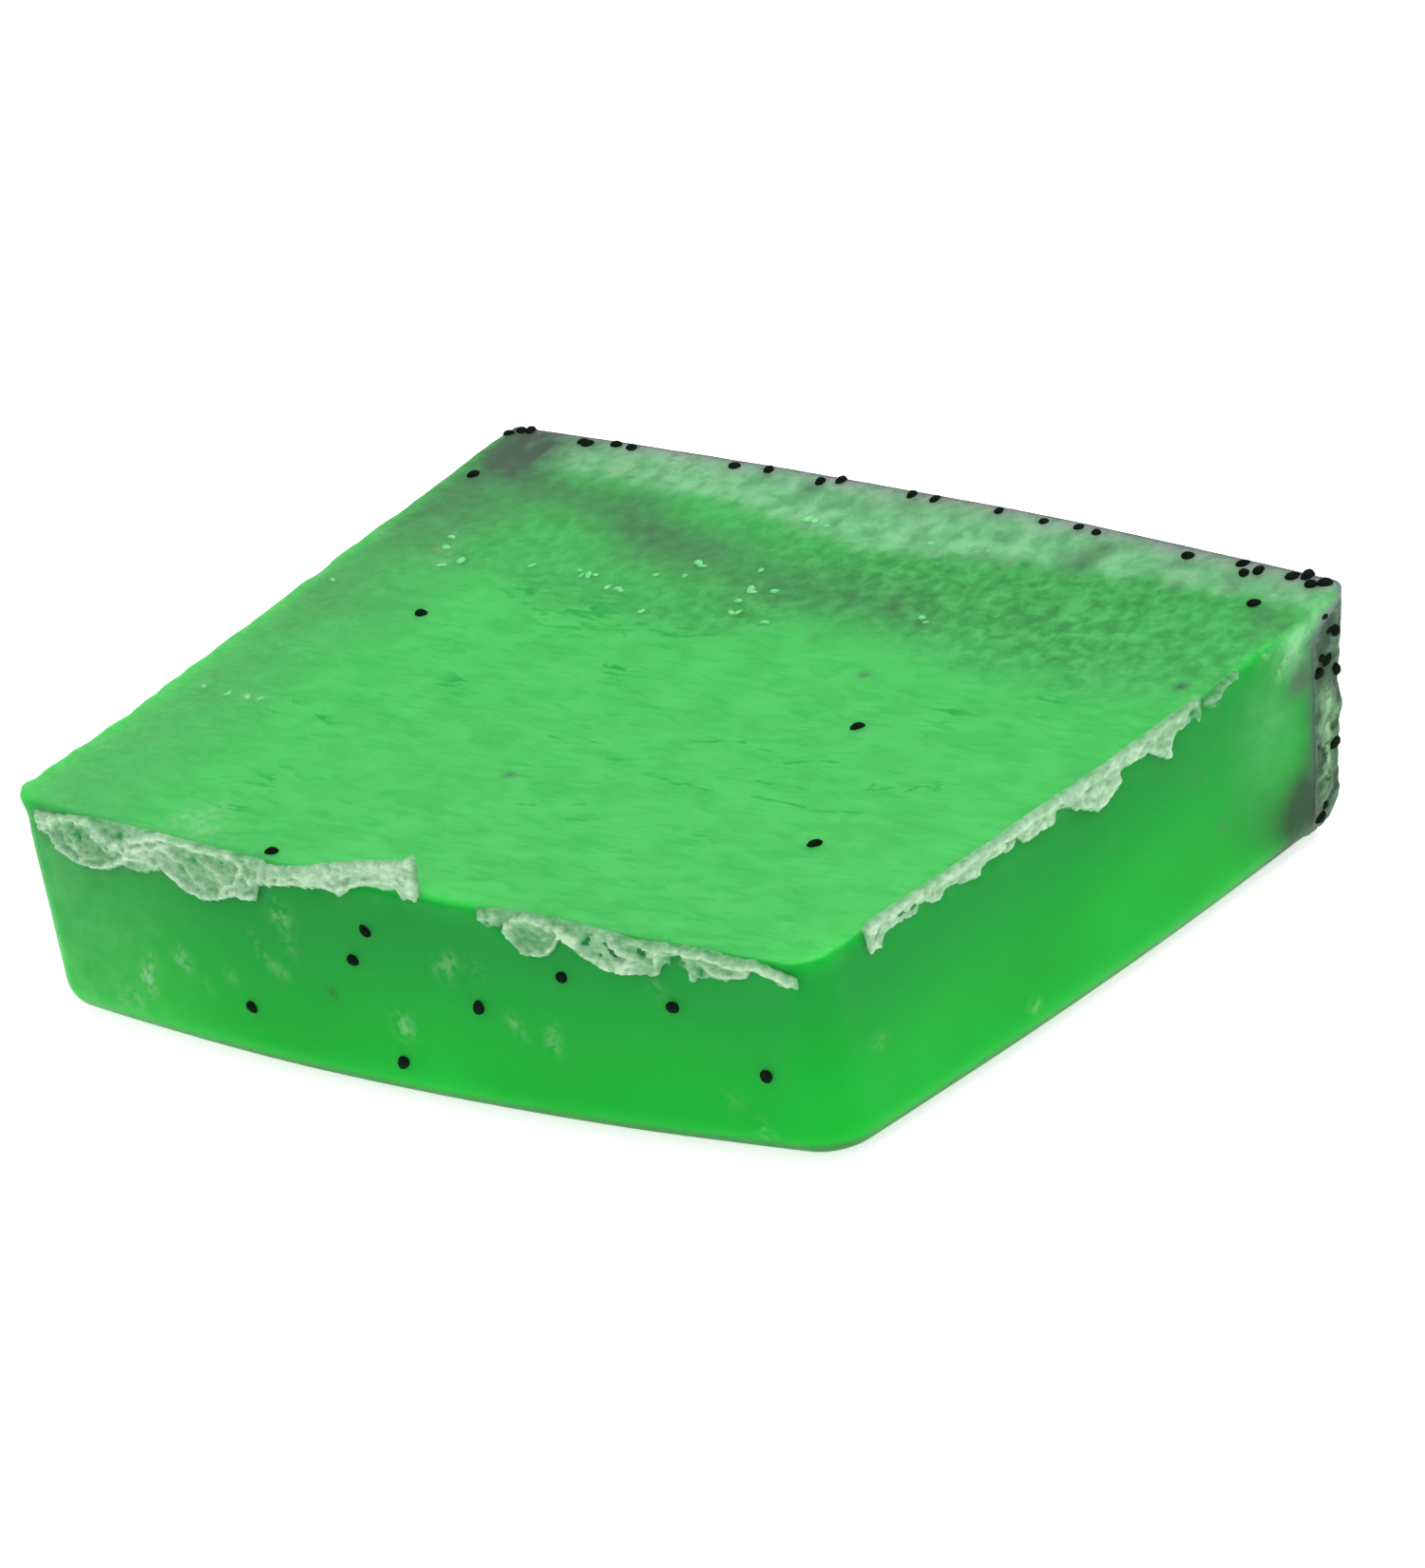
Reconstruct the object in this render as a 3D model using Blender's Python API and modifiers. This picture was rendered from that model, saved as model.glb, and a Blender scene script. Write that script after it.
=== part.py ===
"""Slab of translucent green glycerine soap with poppy seeds, as it comes out of its mould.

The slab lies foot down, as it was poured. The mould gave its sides their draft and its foot rounded
edges, and the poured top crept up the rear wall as it set. Ragged films of dried soap hang over the
front (-Y) and right (+X) sides from the rim, where the pour wetted the mould. The rear (+Y) side carries
a crust of froth and seeds. Metres, +Z up, origin on the resting face below the middle of the slab.
"""

import random

import bmesh
import bpy
from mathutils import Quaternion, Vector, noise

# The slab's corners seen from above: front left, front right, rear right, rear left. Each side also bows
# out by so much at its middle: front, right, rear, left.
TOP_CORNERS = ((-0.0370, -0.0289), (0.0362, -0.0276), (0.0421, 0.0260), (-0.0392, 0.0300))
TOP_BOWS = (0.0010, -0.0009, 0.0015, 0.0008)
FOOT_CORNERS = ((-0.0362, -0.0307), (0.0338, -0.0251), (0.0388, 0.0264), (-0.0382, 0.0290))
FOOT_BOWS = (0.0027, 0.0009, 0.0010, 0.0004)
FRONT_THICKNESS = 0.0166
REAR_RISE_LEFT, REAR_RISE_RIGHT = 0.0046, 0.0033
RISE_POWER_LEFT, RISE_POWER_RIGHT = 1.2, 4.0
DISH_DEPTH = 0.0004

# The edges rounded by the mould, and the almost sharp rim of the poured top. The crust's rim and its left
# upright are rounded less than its other edges.
FOOT_RADIUS = 0.0028
UPRIGHT_RADIUS = 0.0020
RIM_RADIUS = 0.0004
CRUST_RADIUS = 0.0018
CRUST_RIM_RADIUS = 0.0006
BEVEL_SEGMENTS = 3
BODY_CUTS = (15, 11, 3)

# The froth crust, as a share of the slab's depth, and the gap left where two pieces meet.
CRUST_SHARE = 0.065
JOINT_SHARE = 0.001
FROTH_HEIGHT = 0.0004
FROTH_SIZE = 0.0045
CRUST_CUTS = (31, 0, 3)

# Each film of dried soap: the side it hangs on, its lower edge and its upper edge, both as
# (share along the side, share up the side). Above 1 it stands up past the rim.
FILMS = {
    "edge_film_front_left": (
        "front",
        ((0.030, 0.85), (0.067, 0.76), (0.122, 0.73), (0.196, 0.78), (0.269, 0.74), (0.333, 0.78),
         (0.350, 0.87), (0.410, 0.90), (0.460, 0.92), (0.480, 0.97), (0.530, 0.98), (0.550, 0.95)),
        ((0.030, 1.01), (0.330, 1.00), (0.430, 1.03), (0.550, 1.12)),
    ),
    "edge_film_front_centre": (
        "front",
        ((0.625, 0.94), (0.659, 0.88), (0.691, 0.82), (0.721, 0.89), (0.777, 0.80), (0.841, 0.82),
         (0.904, 0.85), (0.950, 0.87), (0.975, 0.90)),
        ((0.625, 1.01), (0.975, 1.01)),
    ),
    "edge_film_right": (
        "right",
        ((0.107, 0.90), (0.128, 0.87), (0.195, 0.90), (0.298, 0.89), (0.403, 0.89), (0.454, 0.87),
         (0.485, 0.90), (0.522, 0.82), (0.560, 0.84), (0.599, 0.89), (0.651, 0.86), (0.685, 0.91)),
        ((0.107, 1.01), (0.685, 1.02)),
    ),
    "edge_film_right_end": (
        "right",
        ((0.695, 0.90), (0.727, 0.88), (0.760, 0.93), (0.790, 0.95)),
        ((0.695, 1.02), (0.790, 0.99)),
    ),
}
FILM_THICKNESS = 0.0007
FILM_LUMPS = 0.0002
FILM_GAP = 0.00015
FILM_STEP_SHARE = 0.02

# A poppy seed's half sizes, and how far its middle lies under the surface that holds it.
SEED_HALF_SIZES = (0.00062, 0.00048, 0.00045)
SEED_BEND = 0.18
SEED_SINK = 0.00014
SOCKET_GAP = 0.00006
SCATTER = 11

# Each seed's place on a face, as shares: along it and up it, or across the top and back over it.
SEEDS = {
    "front": ((0.315, 0.30), (0.486, 0.78), (0.464, 0.63), (0.616, 0.53), (0.512, 0.20), (0.722, 0.75),
              (0.844, 0.70), (0.934, 0.43)),
    "top": ((0.166, 0.556), (0.735, 0.522), (0.849, 0.262), (0.357, 0.020), (0.030, 0.866),
            (0.943, 0.922)),
    "rim": ((0.018, 0.986), (0.103, 0.980), (0.142, 0.986), (0.163, 0.984), (0.296, 0.982),
            (0.337, 0.986), (0.404, 0.980), (0.512, 0.987), (0.541, 0.986), (0.617, 0.987),
            (0.671, 0.984), (0.710, 0.987), (0.732, 0.984), (0.838, 0.979), (0.895, 0.986),
            (0.916, 0.980), (0.950, 0.984), (0.974, 0.978)),
    "right": ((0.978, 0.84), (0.980, 0.68), (0.979, 0.38)),
    "rear": ((0.060, 0.72), (0.180, 0.44), (0.310, 0.78), (0.430, 0.30), (0.540, 0.62), (0.650, 0.84),
             (0.760, 0.40), (0.850, 0.70), (0.930, 0.25)),
}

COLOURS = {
    "soap": (0.045, 0.45, 0.085, 1),
    "froth": (0.22, 0.40, 0.24, 1),
    "film": (0.42, 0.62, 0.42, 1),
    "seed": (0.010, 0.011, 0.016, 1),
}
ROUGHNESS = {"soap": 0.35, "froth": 0.8, "film": 0.7, "seed": 0.6}


def mix(start, end, share):
    return start + (end - start) * share


def plan_point(corners, bows, across, back):
    """The point at these shares inside four corners whose joining sides bow out."""
    front = Vector(corners[0]).lerp(Vector(corners[1]), across)
    rear = Vector(corners[3]).lerp(Vector(corners[2]), across)
    point = front.lerp(rear, back)
    point.x += 4 * back * (1 - back) * mix(-bows[3], bows[1], across)
    point.y += 4 * across * (1 - across) * mix(-bows[0], bows[2], back)
    return point


def thickness_at(across, back):
    """The poured top is level at the front, a little dished, and curls up to the rear wall."""
    power = mix(RISE_POWER_LEFT, RISE_POWER_RIGHT, across)
    rise = mix(REAR_RISE_LEFT, REAR_RISE_RIGHT, across) * max(back, 0) ** power
    dish = 16 * DISH_DEPTH * across * (1 - across) * back * (1 - back)
    return FRONT_THICKNESS + rise - dish


def slab_point(across, back, up):
    """The slab with sharp edges, by its shares: left to right, front to rear, foot to top."""
    foot = plan_point(FOOT_CORNERS, FOOT_BOWS, across, back)
    plan = foot.lerp(plan_point(TOP_CORNERS, TOP_BOWS, across, back), up)
    return Vector((plan.x, plan.y, thickness_at(across, back) * up))


def frothy(point):
    """How far the froth stands out at this point of the rear side."""
    return FROTH_HEIGHT * noise.noise(point / FROTH_SIZE)


def crust_point(across, back, up):
    point = slab_point(across, mix(1 - CRUST_SHARE + JOINT_SHARE, 1, back), up)
    if back == 1:
        point.y += frothy(point)
    return point


def body_point(across, back, up):
    return slab_point(across, back * (1 - CRUST_SHARE), up)


def on_face(face, first, second):
    """The point of a face at two shares, and the direction out of the soap there."""
    shares = {
        "front": lambda a, b: (a, 0, b),
        "rear": lambda a, b: (1 - a, 1, b),
        "right": lambda a, b: (1, a, b),
        "top": lambda a, b: (a, b, 1),
        "rim": lambda a, b: (a, b, 1),
    }[face]
    step = 0.002
    point = slab_point(*shares(first, second))
    along = slab_point(*shares(first + step, second)) - point
    over = slab_point(*shares(first, second + step)) - point
    return point, along.cross(over).normalized()


def edge_radius(ends, is_crust):
    """The rounding of one grid edge, from its two ends as shares: 0 unless it lies on an edge of the block."""
    lies_on = [axis for axis in range(3) if all(end[axis] in (0, 1) for end in ends)]
    lies_on = [axis for axis in lies_on if ends[0][axis] == ends[1][axis]]
    if len(lies_on) < 2:
        return 0
    side = {axis: ends[0][axis] for axis in lies_on}
    if side.get(1) == (0 if is_crust else 1):
        return 0
    if is_crust:
        return CRUST_RIM_RADIUS if side.get(2) == 1 or (side.get(0), side.get(1)) == (0, 1) else CRUST_RADIUS
    if side.get(2) == 1:
        return RIM_RADIUS
    return FOOT_RADIUS if side.get(2) == 0 else UPRIGHT_RADIUS


def block(name, cuts, place, material, collection, radius=None):
    """A cube cut into a grid, with each point moved to place(its three shares), as a new object."""
    grid = bmesh.new()
    bmesh.ops.create_cube(grid, size=1)
    for axis, count in enumerate(cuts):
        along = [e for e in grid.edges if abs(e.verts[0].co[axis] - e.verts[1].co[axis]) > 0.5]
        if count:
            bmesh.ops.subdivide_edges(grid, edges=along, cuts=count, use_grid_fill=True)
    for vertex in grid.verts:
        vertex.co = [min(max(round(value + 0.5, 6), 0), 1) for value in vertex.co]
    if radius:
        weights = grid.edges.layers.float.new("bevel_weight_edge")
        for edge in grid.edges:
            edge[weights] = radius([end.co.copy() for end in edge.verts]) / FOOT_RADIUS
    for vertex in grid.verts:
        vertex.co = place(*vertex.co)
    bmesh.ops.recalc_face_normals(grid, faces=grid.faces)
    mesh = bpy.data.meshes.new(name)
    grid.to_mesh(mesh)
    grid.free()
    mesh.materials.append(material)
    mesh.shade_smooth()
    mesh.set_sharp_from_angle(angle=0.6)
    obj = bpy.data.objects.new(name, mesh)
    collection.objects.link(obj)
    if radius:
        bevel = obj.modifiers.new("rounded edges", "BEVEL")
        bevel.limit_method = "WEIGHT"
        bevel.width = FOOT_RADIUS
        bevel.segments = BEVEL_SEGMENTS
    return obj


def height_of(edge, share):
    """How far up its side a film's edge is, at this share along the side."""
    for (start, height), (end, next_height) in zip(edge, edge[1:]):
        if share <= end:
            return mix(height, next_height, max(share - start, 0) / (end - start))
    return edge[-1][1]


def film(name, side, lower, upper, material, collection):
    """A thin sheet hanging just off one side, thinner towards its lower edge."""
    start, end = lower[0][0], lower[-1][0]

    def place(along, out, up):
        share = mix(start, end, along)
        height = mix(height_of(lower, share), height_of(upper, share), up)
        point, outward = on_face(side, share, height)
        thickness = FILM_THICKNESS * mix(0.5, 1, up) + FILM_LUMPS * noise.noise(point / 0.002)
        return point + outward * (FILM_GAP + thickness * out)

    cuts = (round((end - start) / FILM_STEP_SHARE), 0, 2)
    return block(name, cuts, place, material, collection)


def seed_mesh(name, grow, material):
    """A kidney-shaped poppy seed, or the hollow it sits in when grow is above 0."""
    shape = bmesh.new()
    bmesh.ops.create_icosphere(shape, subdivisions=2, radius=1)
    for vertex in shape.verts:
        x, y, z = vertex.co
        bent = Vector((x, y + SEED_BEND * (x * x - 0.5), z))
        vertex.co = [value * (half + grow) for value, half in zip(bent, SEED_HALF_SIZES)]
    mesh = bpy.data.meshes.new(name)
    shape.to_mesh(mesh)
    shape.free()
    mesh.materials.append(material)
    mesh.shade_smooth()
    return mesh


def seed_places():
    """(name, point, rotation) of every seed, each lying nearly flat on its face."""
    scatter = random.Random(SCATTER)
    for face, spots in SEEDS.items():
        for number, shares in enumerate(spots, 1):
            point, outward = on_face(face, *shares)
            if face == "rear":
                point.y += frothy(point)
            spin = Quaternion(outward, scatter.uniform(0, 6.28))
            tilt = Quaternion(Vector((1, 0, 0)), scatter.uniform(-0.3, 0.3))
            lie_flat = Vector((0, 0, 1)).rotation_difference(outward)
            yield f"seed_{face}_{number:02d}", point - outward * SEED_SINK, spin @ lie_flat @ tilt


def put(name, mesh, point, rotation, collection):
    obj = bpy.data.objects.new(name, mesh)
    obj.rotation_mode = "QUATERNION"
    obj.location = point
    obj.rotation_quaternion = rotation
    collection.objects.link(obj)
    return obj


def make_material(name):
    material = bpy.data.materials.new(name)
    material.use_nodes = True
    shader = material.node_tree.nodes["Principled BSDF"]
    shader.inputs["Base Color"].default_value = COLOURS[name]
    shader.inputs["Roughness"].default_value = ROUGHNESS[name]
    material.diffuse_color = COLOURS[name]
    return material


def main():
    for obj in list(bpy.data.objects):
        bpy.data.objects.remove(obj, do_unlink=True)
    bar = bpy.data.collections.new("soap_bar")
    sockets = bpy.data.collections.new("seed_sockets")
    for collection in (bar, sockets):
        bpy.context.scene.collection.children.link(collection)
    material = {name: make_material(name) for name in COLOURS}

    pieces = [
        block("soap_body", BODY_CUTS, body_point, material["soap"], bar, lambda ends: edge_radius(ends, False)),
        block("foam_crust", CRUST_CUTS, crust_point, material["froth"], bar, lambda ends: edge_radius(ends, True)),
    ]
    pieces += [film(name, *shape, material["film"], bar) for name, shape in FILMS.items()]

    seed = seed_mesh("poppy_seed", 0, material["seed"])
    socket = seed_mesh("seed_socket", SOCKET_GAP, material["soap"])
    for name, point, rotation in seed_places():
        put(name, seed, point, rotation, bar)
        cutter = put(f"socket_of_{name}", socket, point, rotation, sockets)
        cutter.hide_render = True
        cutter.display_type = "WIRE"
    for piece in pieces:
        cut = piece.modifiers.new("seed sockets", "BOOLEAN")
        cut.operation = "DIFFERENCE"
        cut.operand_type = "COLLECTION"
        cut.collection = sockets
        cut.solver = "EXACT"


main()
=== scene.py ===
"""The looks of the soap slab: translucent green glycerine soap with poppy seeds, froth and dried films."""

import math

import bmesh
import bpy
import numpy as np
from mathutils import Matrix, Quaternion, Vector, noise


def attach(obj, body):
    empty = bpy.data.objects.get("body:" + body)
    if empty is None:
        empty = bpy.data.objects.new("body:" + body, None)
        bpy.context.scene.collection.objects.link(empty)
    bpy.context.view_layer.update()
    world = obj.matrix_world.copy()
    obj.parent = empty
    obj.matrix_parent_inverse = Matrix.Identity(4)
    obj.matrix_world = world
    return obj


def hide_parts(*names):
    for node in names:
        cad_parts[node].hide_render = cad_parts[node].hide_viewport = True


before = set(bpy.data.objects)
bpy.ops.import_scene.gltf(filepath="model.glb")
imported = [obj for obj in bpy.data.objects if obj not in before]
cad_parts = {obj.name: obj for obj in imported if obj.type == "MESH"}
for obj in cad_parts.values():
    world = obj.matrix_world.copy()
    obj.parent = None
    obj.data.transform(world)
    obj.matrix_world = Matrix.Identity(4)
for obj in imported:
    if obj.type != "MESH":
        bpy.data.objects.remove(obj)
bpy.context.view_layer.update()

# The slab's form, as in the CAD: corners front left, front right, rear right, rear left, and each side's
# bow at its middle: front, right, rear, left.
TOP_CORNERS = ((-0.0370, -0.0289), (0.0362, -0.0276), (0.0421, 0.0260), (-0.0392, 0.0300))
TOP_BOWS = (0.0010, -0.0009, 0.0015, 0.0008)
FOOT_CORNERS = ((-0.0362, -0.0307), (0.0338, -0.0251), (0.0388, 0.0264), (-0.0382, 0.0290))
FOOT_BOWS = (0.0027, 0.0009, 0.0010, 0.0004)
FRONT_THICKNESS = 0.0166
REAR_RISE_LEFT, REAR_RISE_RIGHT = 0.0046, 0.0033
RISE_POWER_LEFT, RISE_POWER_RIGHT = 1.2, 4.0
DISH_DEPTH = 0.0004
LENGTH, DEPTH, HEIGHT = 0.075, 0.057, 0.0175

# The crust's share of the depth and the gap at its joint; and how far the soap laps over it near the top, the
# share of the height where the lap starts, the share it takes to reach its full depth, and its gap.
CRUST_SHARE = 0.065
JOINT_GAP_SHARE = 0.0004
LAP_SHARE, LAP_START, LAP_RISE, LAP_GAP = 0.0605, 0.86, 0.12, 0.004

# The rounding of the edges, and of the uprights at the foot and at the rim, in the order of the corners.
FOOT_RADIUS = 0.0028
RIM_RADIUS = 0.0005
FOOT_CORNER_RADII = (0.0032, 0.0036, 0.0011, 0.0010)
RIM_CORNER_RADII = (0.0017, 0.0022, 0.0008, 0.0006)

# The uneven surface: waves and wrinkles of the soap, ripples and the lip along its rim, the rear rim's
# swell, the lifted front left corner, the wavy joint, and the crust's lumps and crumbs. Heights and sizes are
# in metres, centres and reaches in shares. Each wave of the joint is (height, size, place in the noise).
WAVE_HEIGHT, WAVE_SIZE = 0.00010, 0.012
WRINKLE_HEIGHT, WRINKLE_SIZE = 0.00004, (0.0045, 0.0016, 0.0045)
RIPPLE_HEIGHT, RIPPLE_SIZE = 0.00016, 0.0022
RIPPLE_REACH_SIDES, RIPPLE_REACH_FRONT = 0.012, 0.015
LIP_HEIGHT, LIP_REACH_ACROSS, LIP_REACH_BACK = 0.00012, 0.045, 0.06
SWELL_HEIGHT, SWELL_CENTRE, SWELL_REACH = 0.00012, 0.66, 0.22
CORNER_LIFT, CORNER_REACH_ACROSS, CORNER_REACH_BACK = 0.00055, 0.09, 0.17
JOINT_WAVES = ((0.00035, 0.0055, 21.0), (0.00015, 0.0018, 33.0))
LUMP_HEIGHT, LUMP_SIZE = 0.0004, 0.0045
CRUMB_HEIGHT, CRUMB_SIZE = 0.00022, 0.0016

BODY_CELLS = (216, 150, 42)
CRUST_CELLS = (230, 12, 56)

# Films of dried soap. Each has its side, the lower and upper edge as (share along the side, share up it),
# how pale it is along its length, the strands that stand out of it as (points, half width and height in
# millimetres, paleness), and the thin spots where the green shows, as (share along, share up, radius, depth).
FRONT_LEFT_FILM = {
    "side": "front",
    "replaces": "edge_film_front_left",
    "lower": (
        (0.03, 0.874), (0.05, 0.873), (0.056, 0.821), (0.068, 0.783), (0.087, 0.764), (0.117, 0.766),
        (0.132, 0.778), (0.155, 0.814), (0.175, 0.8), (0.197, 0.817), (0.213, 0.839), (0.23, 0.801),
        (0.249, 0.773), (0.268, 0.749), (0.289, 0.761), (0.31, 0.795), (0.331, 0.795), (0.344, 0.801),
        (0.35, 0.875), (0.392, 0.906), (0.443, 0.928), (0.456, 0.909), (0.467, 0.917), (0.475, 0.957),
        (0.494, 0.98), (0.534, 0.99), (0.54, 0.96), (0.561, 0.96),
    ),
    "upper": (
        (0.03, 0.976), (0.073, 0.986), (0.117, 1.004), (0.2, 1.006), (0.267, 1.002), (0.319, 0.997),
        (0.351, 0.997), (0.37, 0.985), (0.408, 1.003), (0.447, 1.049), (0.498, 1.101), (0.548, 1.135),
        (0.556, 1.17), (0.561, 1.15),
    ),
    "pale": (
        (0.03, 0.75), (0.06, 0.42), (0.13, 0.42), (0.18, 0.55), (0.24, 0.5), (0.27, 0.48), (0.34, 0.5),
        (0.36, 0.72), (0.56, 0.8),
    ),
    "strands": (
        (((0.036, 0.923), (0.054, 0.929)), 0.5, 0.3, 0.4),
        (((0.059, 0.954), (0.094, 0.986), (0.115, 0.981), (0.127, 0.938), (0.146, 0.906), (0.198, 0.972),
          (0.22, 1.0), (0.247, 0.997), (0.266, 0.991)), 0.28, 0.45, 0.6),
        (((0.051, 0.878), (0.063, 0.84), (0.082, 0.794), (0.103, 0.781), (0.125, 0.785), (0.149, 0.83),
          (0.172, 0.875), (0.193, 0.874), (0.217, 0.868), (0.234, 0.825), (0.252, 0.784), (0.271, 0.765),
          (0.294, 0.782), (0.318, 0.823), (0.34, 0.818)), 0.25, 0.5, 0.65),
        (((0.101, 0.974), (0.084, 0.9), (0.095, 0.839), (0.117, 0.813)), 0.18, 0.25, 0.35),
        (((0.119, 0.928), (0.135, 0.88), (0.163, 0.889), (0.196, 0.932), (0.228, 0.97)), 0.22, 0.35, 0.5),
        (((0.072, 0.925), (0.079, 0.861), (0.099, 0.812)), 0.18, 0.25, 0.3),
        (((0.168, 0.88), (0.195, 0.919), (0.219, 0.908)), 0.4, 0.3, 0.35),
        (((0.224, 0.941), (0.249, 0.909), (0.26, 0.858), (0.276, 0.812)), 0.2, 0.4, 0.5),
        (((0.27, 0.976), (0.295, 0.988), (0.319, 0.984), (0.332, 0.944), (0.321, 0.872),
          (0.298, 0.82)), 0.22, 0.35, 0.45),
        (((0.274, 0.938), (0.292, 0.908), (0.302, 0.857)), 0.16, 0.25, 0.35),
        (((0.342, 0.981), (0.345, 0.912), (0.335, 0.841)), 0.2, 0.35, 0.4),
        (((0.357, 0.93), (0.394, 0.949), (0.432, 0.983), (0.471, 1.03), (0.521, 1.085),
          (0.556, 1.129)), 0.45, 0.3, 0.15),
        (((0.366, 0.898), (0.418, 0.939), (0.458, 0.944), (0.495, 1.01), (0.535, 1.04),
          (0.551, 1.01)), 0.2, 0.2, 0.2),
        (((0.558, 1.15), (0.556, 1.08), (0.552, 0.98)), 0.25, 0.3, 0.25),
    ),
    "thin": (
        (0.093, 0.92, 0.5, 0.35), (0.128, 0.892, 0.4, 0.3), (0.159, 0.959, 0.5, 0.4),
        (0.243, 0.88, 0.35, 0.4), (0.264, 0.934, 0.4, 0.35), (0.303, 0.921, 0.4, 0.15),
        (0.473, 1.006, 0.4, 0.35),
    ),
}
FRONT_CENTRE_FILM = {
    "side": "front",
    "replaces": "edge_film_front_centre",
    "lower": (
        (0.63, 0.95), (0.64, 0.911), (0.656, 0.923), (0.66, 0.946), (0.665, 0.891), (0.672, 0.854),
        (0.684, 0.816), (0.711, 0.832), (0.721, 0.883), (0.728, 0.914), (0.737, 0.896), (0.748, 0.853),
        (0.765, 0.839), (0.777, 0.814), (0.802, 0.816), (0.835, 0.836), (0.841, 0.89), (0.854, 0.904),
        (0.868, 0.886), (0.873, 0.84), (0.882, 0.869), (0.908, 0.871), (0.931, 0.899), (0.941, 0.943),
        (0.956, 0.928), (0.967, 0.891), (0.984, 0.887),
    ),
    "upper": (
        (0.63, 0.99), (0.652, 1.0), (0.668, 1.005), (0.691, 1.016), (0.719, 1.014), (0.746, 1.004),
        (0.788, 1.0), (0.819, 0.988), (0.851, 0.994), (0.893, 1.0), (0.913, 0.99), (0.943, 0.989),
        (0.967, 0.968), (0.984, 0.934),
    ),
    "pale": (
        (0.63, 0.45), (0.66, 0.4), (0.69, 0.4), (0.73, 0.45), (0.78, 0.55), (0.82, 0.5), (0.87, 0.45),
        (0.93, 0.55), (0.98, 0.6),
    ),
    "strands": (
        (((0.639, 0.965), (0.656, 0.97)), 0.35, 0.3, 0.35),
        (((0.667, 0.949), (0.665, 0.896), (0.675, 0.847), (0.691, 0.834), (0.71, 0.849), (0.721, 0.909),
          (0.733, 0.961)), 0.25, 0.45, 0.45),
        (((0.675, 0.972), (0.693, 0.998), (0.71, 0.986), (0.733, 0.97), (0.747, 0.938)), 0.28, 0.45, 0.6),
        (((0.739, 0.94), (0.754, 0.892), (0.77, 0.861), (0.787, 0.83), (0.806, 0.845)), 0.3, 0.4, 0.45),
        (((0.787, 0.969), (0.796, 0.924), (0.808, 0.899), (0.793, 0.853)), 0.3, 0.4, 0.5),
        (((0.813, 0.981), (0.839, 0.959), (0.833, 0.857)), 0.2, 0.3, 0.35),
        (((0.84, 0.968), (0.866, 0.98), (0.892, 0.974), (0.913, 0.956), (0.942, 0.966), (0.961, 0.95),
          (0.98, 0.92)), 0.25, 0.4, 0.5),
        (((0.888, 0.936), (0.901, 0.902), (0.919, 0.907), (0.934, 0.928)), 0.25, 0.3, 0.35),
        (((0.873, 0.871), (0.874, 0.85)), 0.2, 0.3, 0.4),
    ),
    "thin": (
        (0.82, 0.939, 0.3, 1.2), (0.858, 0.91, 0.55, 1.0), (0.698, 0.908, 0.45, 0.25),
        (0.76, 0.957, 0.4, 0.5), (0.73, 0.925, 0.3, 0.6), (0.884, 0.9, 0.3, 0.5),
    ),
}
RIGHT_FILM = {
    "side": "right",
    "replaces": "edge_film_right",
    "lower": (
        (0.098, 0.92), (0.103, 0.88), (0.117, 0.879), (0.13, 0.926), (0.154, 0.928), (0.185, 0.922),
        (0.197, 0.949), (0.227, 0.906), (0.241, 0.939), (0.274, 0.913), (0.297, 0.896), (0.31, 0.935),
        (0.333, 0.936), (0.361, 0.918), (0.371, 0.951), (0.385, 0.909), (0.414, 0.914), (0.436, 0.903),
        (0.446, 0.951), (0.462, 0.943), (0.486, 0.892), (0.518, 0.83), (0.535, 0.855), (0.553, 0.868),
        (0.564, 0.937), (0.586, 0.935), (0.603, 0.931), (0.617, 0.929), (0.63, 0.895), (0.648, 0.852),
        (0.657, 0.9), (0.674, 0.937), (0.692, 0.936), (0.705, 0.939), (0.712, 0.914), (0.718, 0.956),
    ),
    "upper": (
        (0.098, 1.0), (0.11, 1.02), (0.162, 1.016), (0.247, 1.01), (0.334, 1.008), (0.405, 1.015),
        (0.474, 1.012), (0.527, 1.01), (0.598, 1.015), (0.669, 1.018), (0.709, 1.016), (0.718, 1.0),
    ),
    "pale": ((0.1, 0.7), (0.6, 0.75), (0.68, 0.55), (0.72, 0.3)),
    "strands": (
        (((0.105, 0.99), (0.16, 0.995), (0.245, 0.985), (0.332, 0.983), (0.402, 0.988), (0.471, 0.98),
          (0.524, 0.978), (0.596, 0.99), (0.668, 0.997), (0.707, 0.995)), 0.2, 0.12, 0.2),
        (((0.111, 0.992), (0.106, 0.93), (0.115, 0.905)), 0.3, 0.35, 0.25),
        (((0.485, 0.929), (0.513, 0.865), (0.54, 0.89), (0.553, 0.921)), 0.3, 0.3, 0.2),
        (((0.479, 0.958), (0.529, 0.917)), 0.3, 0.2, 0.15),
        (((0.622, 0.943), (0.645, 0.877), (0.655, 0.927)), 0.3, 0.3, 0.2),
        (((0.277, 0.957), (0.297, 0.919)), 0.25, 0.25, 0.2),
        (((0.334, 0.966), (0.36, 0.947)), 0.25, 0.25, 0.2),
        (((0.388, 0.944), (0.429, 0.936)), 0.3, 0.25, 0.2),
        (((0.212, 0.963), (0.228, 0.923)), 0.25, 0.25, 0.2),
        (((0.577, 0.975), (0.594, 0.956)), 0.25, 0.25, 0.15),
    ),
    "thin": ((0.7, 0.975, 0.4, 0.5), (0.505, 0.955, 0.4, 0.2), (0.35, 0.96, 0.3, 0.2)),
}
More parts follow.
